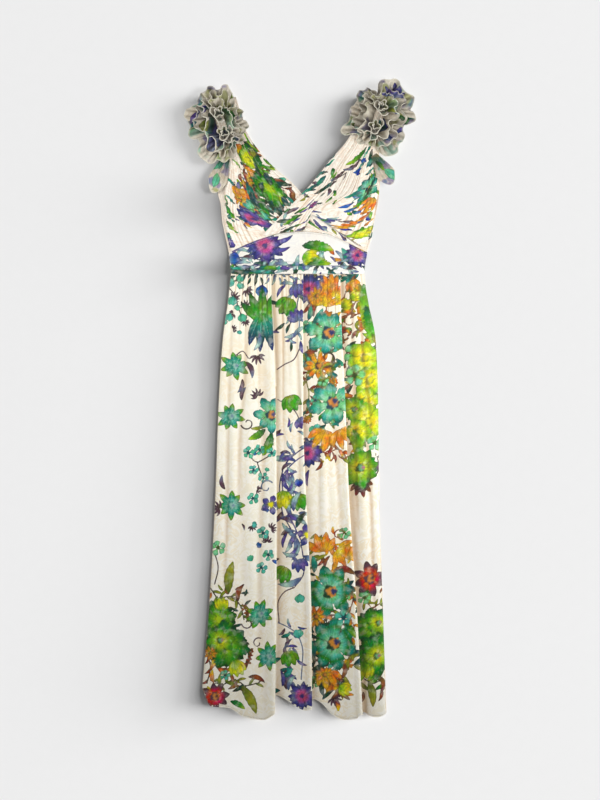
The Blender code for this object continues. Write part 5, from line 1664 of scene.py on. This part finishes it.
class MaxiDressInks(bpy.types.PropertyGroup):
    """Inks of the print."""

    mist: colour_choice("Mist", "Palest blue green", 168, 205, 190)
    sea: colour_choice("Sea", "Light blue green", 86, 178, 152)
    teal: colour_choice("Teal", "Blue green", 22, 132, 112)
    deep_teal: colour_choice("Deep teal", "Dark blue green", 16, 66, 76)
    mint: colour_choice("Mint", "Light green", 120, 196, 140)
    lime: colour_choice("Lime", "Yellow green", 166, 198, 6)
    leaf: colour_choice("Leaf", "Fresh green", 86, 158, 16)
    green: colour_choice("Green", "Strong green", 34, 120, 34)
    forest: colour_choice("Forest", "Dark green", 14, 64, 34)
    moss: colour_choice("Moss", "Dull dark green", 58, 86, 24)
    olive: colour_choice("Olive", "Dull yellow green", 142, 148, 50)
    yellow: colour_choice("Yellow", "Warm yellow", 230, 222, 18)
    amber: colour_choice("Amber", "Brown yellow", 208, 160, 78)
    orange: colour_choice("Orange", "Bright orange", 226, 146, 44)
    rust: colour_choice("Rust", "Red brown", 150, 84, 48)
    red: colour_choice("Red", "Orange red", 212, 62, 20)
    rose: colour_choice("Rose", "Pink", 196, 90, 136)
    plum: colour_choice("Plum", "Purple brown", 88, 58, 74)
    bark: colour_choice("Bark", "Dark brown", 66, 46, 42)
    violet: colour_choice("Violet", "Blue violet", 92, 82, 150)
    indigo: colour_choice("Indigo", "Dark blue violet", 46, 42, 108)
    blue: colour_choice("Blue", "Clear blue", 34, 84, 168)
    slate: colour_choice("Slate", "Grey blue", 112, 130, 160)


class MaxiDressStage(bpy.types.PropertyGroup):
    """Floor, lights and camera."""

    floor: colour_choice("Floor", "Colour of the paper that the dress lies on", 232, 232, 232)
    camera_height: length_choice("Camera height", "Height of the camera above the floor", 3.0, min=0.0)
    view_height: length_choice("View", "Length of floor that the picture takes in", 1.8536, min=0.0)
    centre_x: length_choice("Centre X", "Middle of the view", 0.0012)
    centre_y: length_choice("Centre Y", "Middle of the view", -0.0046)
    dress_light: bpy.props.FloatProperty(
        name="Dress light", description="Power of the softboxes together", default=30.0, unit="POWER"
    )
    floor_light: bpy.props.FloatProperty(
        name="Floor light", description="Strength of the floor's own lights", default=1.035
    )
    ambient: bpy.props.FloatProperty(
        name="Ambient", description="Strength of the light from all round", default=0.15
    )


def cloth_sizes():
    """The cloth's settings."""
    return bpy.context.scene.maxi_dress_cloth


def ink_colours():
    """Inks by name, as linear colours."""
    inks = bpy.context.scene.maxi_dress_inks
    return {name: np.array(getattr(inks, name)) for name in MaxiDressInks.__annotations__}


def material_of(group):
    """The jacquard of the skirt, midriff or bodice, or the thinner cloth of the rosettes."""
    sizes = cloth_sizes()
    if group == "rosette":
        inks = ink_colours()
        return cloth_material(
            "rosette_print", sizes.taupe, sizes.taupe_figure, sizes.rosette_hollow,
            sizes.figure_pitch * 0.6, 0.0004, 0.4, [inks[name] for name in ROSETTE_WASHES],
        )
    ground = {"skirt": sizes.ground, "midriff": sizes.cool_white, "bodice": sizes.ivory}[group]
    return cloth_material(
        f"{group}_jacquard", ground, sizes.figure, sizes.hollow, sizes.figure_pitch, 0.0005, 0.25
    )


# ---- Operators: one for each group of pieces.


def make_piece(
    node, surface, material, vines, motifs, cut=1.0, side=1, wall=None, near_edge=0.0,
    shading=None, sewing=None, wraps=False, inner_rows=1,
):
    """One printed piece of the dress: a shell on its surface that stands for a node of the frame.
    cut is the share by which the flat cloth is larger than what the surface shows; side is -1 where
    the print is mirrored; shading and sewing work out values from the surface."""
    surface = facing_up(surface, wraps)
    cloth = PrintedCloth(surface, ink_colours())
    draw(cloth, vines, motifs, side)
    # Painted shade from the hollows of the surface and from its shading function, kept as an attribute.
    shade = painted_hollow_shade(surface, wraps)
    if shading:
        shade = np.clip(shade + shading(surface), 0, 1)
    wall = cloth_sizes().wall / MM if wall is None else wall
    piece, source = shell_of(f"{node}_cloth", surface, wall, wraps, inner_rows)
    give_values(
        piece.data, source, surface, {"print_fill": cloth.fill, "print_detail": cloth.detail},
        {
            "rolled_edge": near_edge, "hollow": shade,
            "sewn_edge": sewing(surface) if sewing else FAR,
        },
    )
    area = flat_area(surface, wraps) * cut
    width = np.ptp(surface.across) * MM
    flat = (width, max(np.ptp(surface.along) * MM, area / width))
    piece.data.materials.append(material)
    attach(piece, BODY)
    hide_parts(node)


class MAXIDRESS_OT_skirt(bpy.types.Operator):
    """Make the front and back of the skirt"""

    bl_idname = "maxi_dress.skirt"
    bl_label = "Skirt"

    def execute(self, context):
        material = material_of("skirt")
        motifs = scattered(SKIRT_SCATTERS) + SKIRT_MOTIFS
        make_piece(
            "skirt_front", skirt_front_surface(), material, SKIRT_VINES, motifs,
            inner_rows=SKIRT_INNER_ROWS, shading=painted_shade_beside_folds, sewing=from_hem,
        )
        make_piece(
            "skirt_back", skirt_back_surface(), material, SKIRT_VINES, motifs,
            side=-1, sewing=from_hem,
        )
        return {"FINISHED"}


class MAXIDRESS_OT_midriff(bpy.types.Operator):
    """Make the front and back of the midriff"""

    bl_idname = "maxi_dress.midriff"
    bl_label = "Midriff"

    def execute(self, context):
        material = material_of("midriff")
        make_piece(
            "midriff_front", midriff_front_surface(), material, MIDRIFF_VINES,
            scattered(MIDRIFF_SCATTERS) + MIDRIFF_MOTIFS,
            cut=MIDRIFF_CUT, sewing=from_ends,
        )
        make_piece(
            "midriff_back", midriff_back_surface(), material, MIDRIFF_VINES, MIDRIFF_MOTIFS,
            side=-1,
        )
        return {"FINISHED"}


class MAXIDRESS_OT_bodice(bpy.types.Operator):
    """Make the two pleated front panels and the back of the bodice"""

    bl_idname = "maxi_dress.bodice"
    bl_label = "Bodice"

    def execute(self, context):
        material = material_of("bodice")
        left_motifs = scattered(LEFT_PANEL_SCATTERS) + LEFT_PANEL_MOTIFS
        right_motifs = scattered(RIGHT_PANEL_SCATTERS) + RIGHT_PANEL_MOTIFS
        for node, panel, vines, motifs, beneath in (
            ("bodice_front_left", LEFT_PANEL, LEFT_PANEL_VINES, left_motifs, "bodice_back"),
            ("bodice_front_right", RIGHT_PANEL, RIGHT_PANEL_VINES, right_motifs, "bodice_front_left"),
        ):
            make_piece(
                node, panel_surface(panel, panel is RIGHT_PANEL), material, vines, motifs,
                cut=PANEL_CUT, inner_rows=PANEL_INNER_ROWS, sewing=from_sides,
            )
        make_piece(
            "bodice_back", bodice_back_surface(), material, LEFT_PANEL_VINES, left_motifs,
            side=-1, sewing=from_sides,
        )
        return {"FINISHED"}


def beaded(rows):
    """Wall of each row from foot to edge, in mm, and how near it is to the rolled edge: thin cloth
    that swells to a bead over the last rows."""
    sizes = cloth_sizes()
    near = np.clip(1 - (rows - 1 - np.arange(rows)) / 2, 0, 1)
    wall = sizes.rosette_wall + (sizes.bead - sizes.rosette_wall) * near
    return wall / MM, near


class MAXIDRESS_OT_rosettes(bpy.types.Operator):
    """Make a rosette on each shoulder: three flounces, two swirls and a trailing petal"""

    bl_idname = "maxi_dress.rosettes"
    bl_label = "Rosettes"

    def execute(self, context):
        material = material_of("rosette")
        for rosette in ROSETTES:
            parts = [
                (f"flounce_{flounce.name}", flounce_surface(rosette, flounce), ROSETTE_MOTIFS)
                for flounce in FLOUNCES
            ]
            parts += [
                (f"swirl_{name}", swirl_surface(rosette, *place), ROSETTE_MOTIFS)
                for name, *place in SWIRLS
            ]
            parts.append(("tail", tail_surface(rosette), TAIL_MOTIFS))
            for name, surface, motifs in parts:
                wall, near = beaded(len(surface.middle))
                make_piece(
                    f"rosette_{rosette.side}_{name}", surface, material, (), motifs[rosette.side],
                    wall=wall, near_edge=near[:, None],
                    shading=painted_foot_shade, wraps=name.startswith("flounce"),
                )
        return {"FINISHED"}


def area_light(name, power, place, size, receivers):
    """A soft rectangular light that looks at the origin and lights only its receivers."""
    light = bpy.data.lights.new(name, "AREA")
    light.energy = power
    light.shape = "RECTANGLE"
    light.size, light.size_y = size
    lamp = placed(name, light)
    lamp.location = place
    lamp.visible_camera = False
    lamp.rotation_mode = "QUATERNION"
    lamp.rotation_quaternion = (-Vector(place)).to_track_quat("-Z", "Y")
    lamp.light_linking.receiver_collection = receivers
    return lamp


def collection_of(name, pieces, excluded):
    """A collection for light linking, whose pieces are left out if excluded."""
    made = bpy.data.collections.new(name)
    for piece in pieces:
        made.objects.link(piece)
    for held in made.collection_objects:
        held.light_linking.link_state = "EXCLUDE" if excluded else "INCLUDE"
    return made


class MAXIDRESS_OT_stage(bpy.types.Operator):
    """Make the pale floor, the soft lights and the camera"""

    bl_idname = "maxi_dress.stage"
    bl_label = "Stage"

    def execute(self, context):
        scene = context.scene
        stage = scene.maxi_dress_stage
        corners = FLOOR_HALF * np.array([(-1, -1, 0), (1, -1, 0), (1, 1, 0), (-1, 1, 0)])
        floor = placed("stage_floor", mesh_of("stage_floor", corners / MM, [np.array([[0, 1, 2, 3]])]))
        floor.data.materials.append(floor_material(stage.floor))

        for_dress = collection_of("all_but_the_floor", [floor], True)
        for name, share, place, size in SOFTBOXES:
            area_light(name, share * stage.dress_light, place, size, for_dress)
        for_floor = collection_of("floor_alone", [floor], False)
        for name, strength, height, tallness, passed in FLOOR_LIGHTS:
            level = heading(FLOOR_LIGHT_TURN) * math.cos(math.radians(height))
            place = FLOOR_LIGHT_REACH * np.array((*level, math.sin(math.radians(height))))
            power = AREA_LIGHT_FACTOR * FLOOR_LIGHT_REACH**2 * strength * stage.floor_light
            turns = np.radians((FLOOR_LIGHT_BREADTH, tallness))
            size = 2.0 * FLOOR_LIGHT_REACH * np.tan(turns / 2.0)
            lamp = area_light(name, power, place, size, for_floor)
            if passed:
                pieces = [piece for piece in scene.objects if piece.name.startswith(passed)]
                blockers = collection_of(f"blockers_of_{name}", pieces, True)
                lamp.light_linking.blocker_collection = blockers

        scene.world = bpy.data.worlds.new("studio")
        scene.world.use_nodes = True
        background = scene.world.node_tree.nodes["Background"].inputs
        background["Color"].default_value = (1.0, 1.0, 1.0, 1.0)
        background["Strength"].default_value = stage.ambient
        scene.view_settings.view_transform = "Standard"

        lens = bpy.data.cameras.new("camera")
        lens.sensor_width = SENSOR_WIDTH
        lens.lens = SENSOR_WIDTH * stage.camera_height / stage.view_height
        scene.camera = placed("camera", lens)
        scene.camera.location = (stage.centre_x, stage.centre_y, stage.camera_height)
        return {"FINISHED"}


OPERATORS = (
    MAXIDRESS_OT_skirt,
    MAXIDRESS_OT_midriff,
    MAXIDRESS_OT_bodice,
    MAXIDRESS_OT_rosettes,
    MAXIDRESS_OT_stage,
)
SETTINGS = {
    "maxi_dress_cloth": MaxiDressCloth,
    "maxi_dress_inks": MaxiDressInks,
    "maxi_dress_stage": MaxiDressStage,
}


class MAXIDRESS_PT_panel(bpy.types.Panel):
    """The dress's pieces and settings"""

    bl_idname = "MAXIDRESS_PT_panel"
    bl_label = "Maxi dress"
    bl_space_type = "VIEW_3D"
    bl_region_type = "UI"
    bl_category = "Maxi dress"

    def draw(self, context):
        for operator in OPERATORS:
            self.layout.operator(operator.bl_idname)
        for name, group in SETTINGS.items():
            box = self.layout.box()
            for setting in group.__annotations__:
                box.prop(getattr(context.scene, name), setting)


def register():
    """Registers the settings, the operators and the panel."""
    for name, group in SETTINGS.items():
        bpy.utils.register_class(group)
        setattr(bpy.types.Scene, name, bpy.props.PointerProperty(type=group))
    for kind in (*OPERATORS, MAXIDRESS_PT_panel):
        bpy.utils.register_class(kind)


def unregister():
    """Takes away what register added."""
    for kind in (MAXIDRESS_PT_panel, *reversed(OPERATORS)):
        bpy.utils.unregister_class(kind)
    for name, group in reversed(SETTINGS.items()):
        delattr(bpy.types.Scene, name)
        bpy.utils.unregister_class(group)


def main():
    """Makes every piece and the stage."""
    register()
    bpy.ops.maxi_dress.skirt()
    bpy.ops.maxi_dress.midriff()
    bpy.ops.maxi_dress.bodice()
    bpy.ops.maxi_dress.rosettes()
    bpy.ops.maxi_dress.stage()


if __name__ == "__main__":
    main()
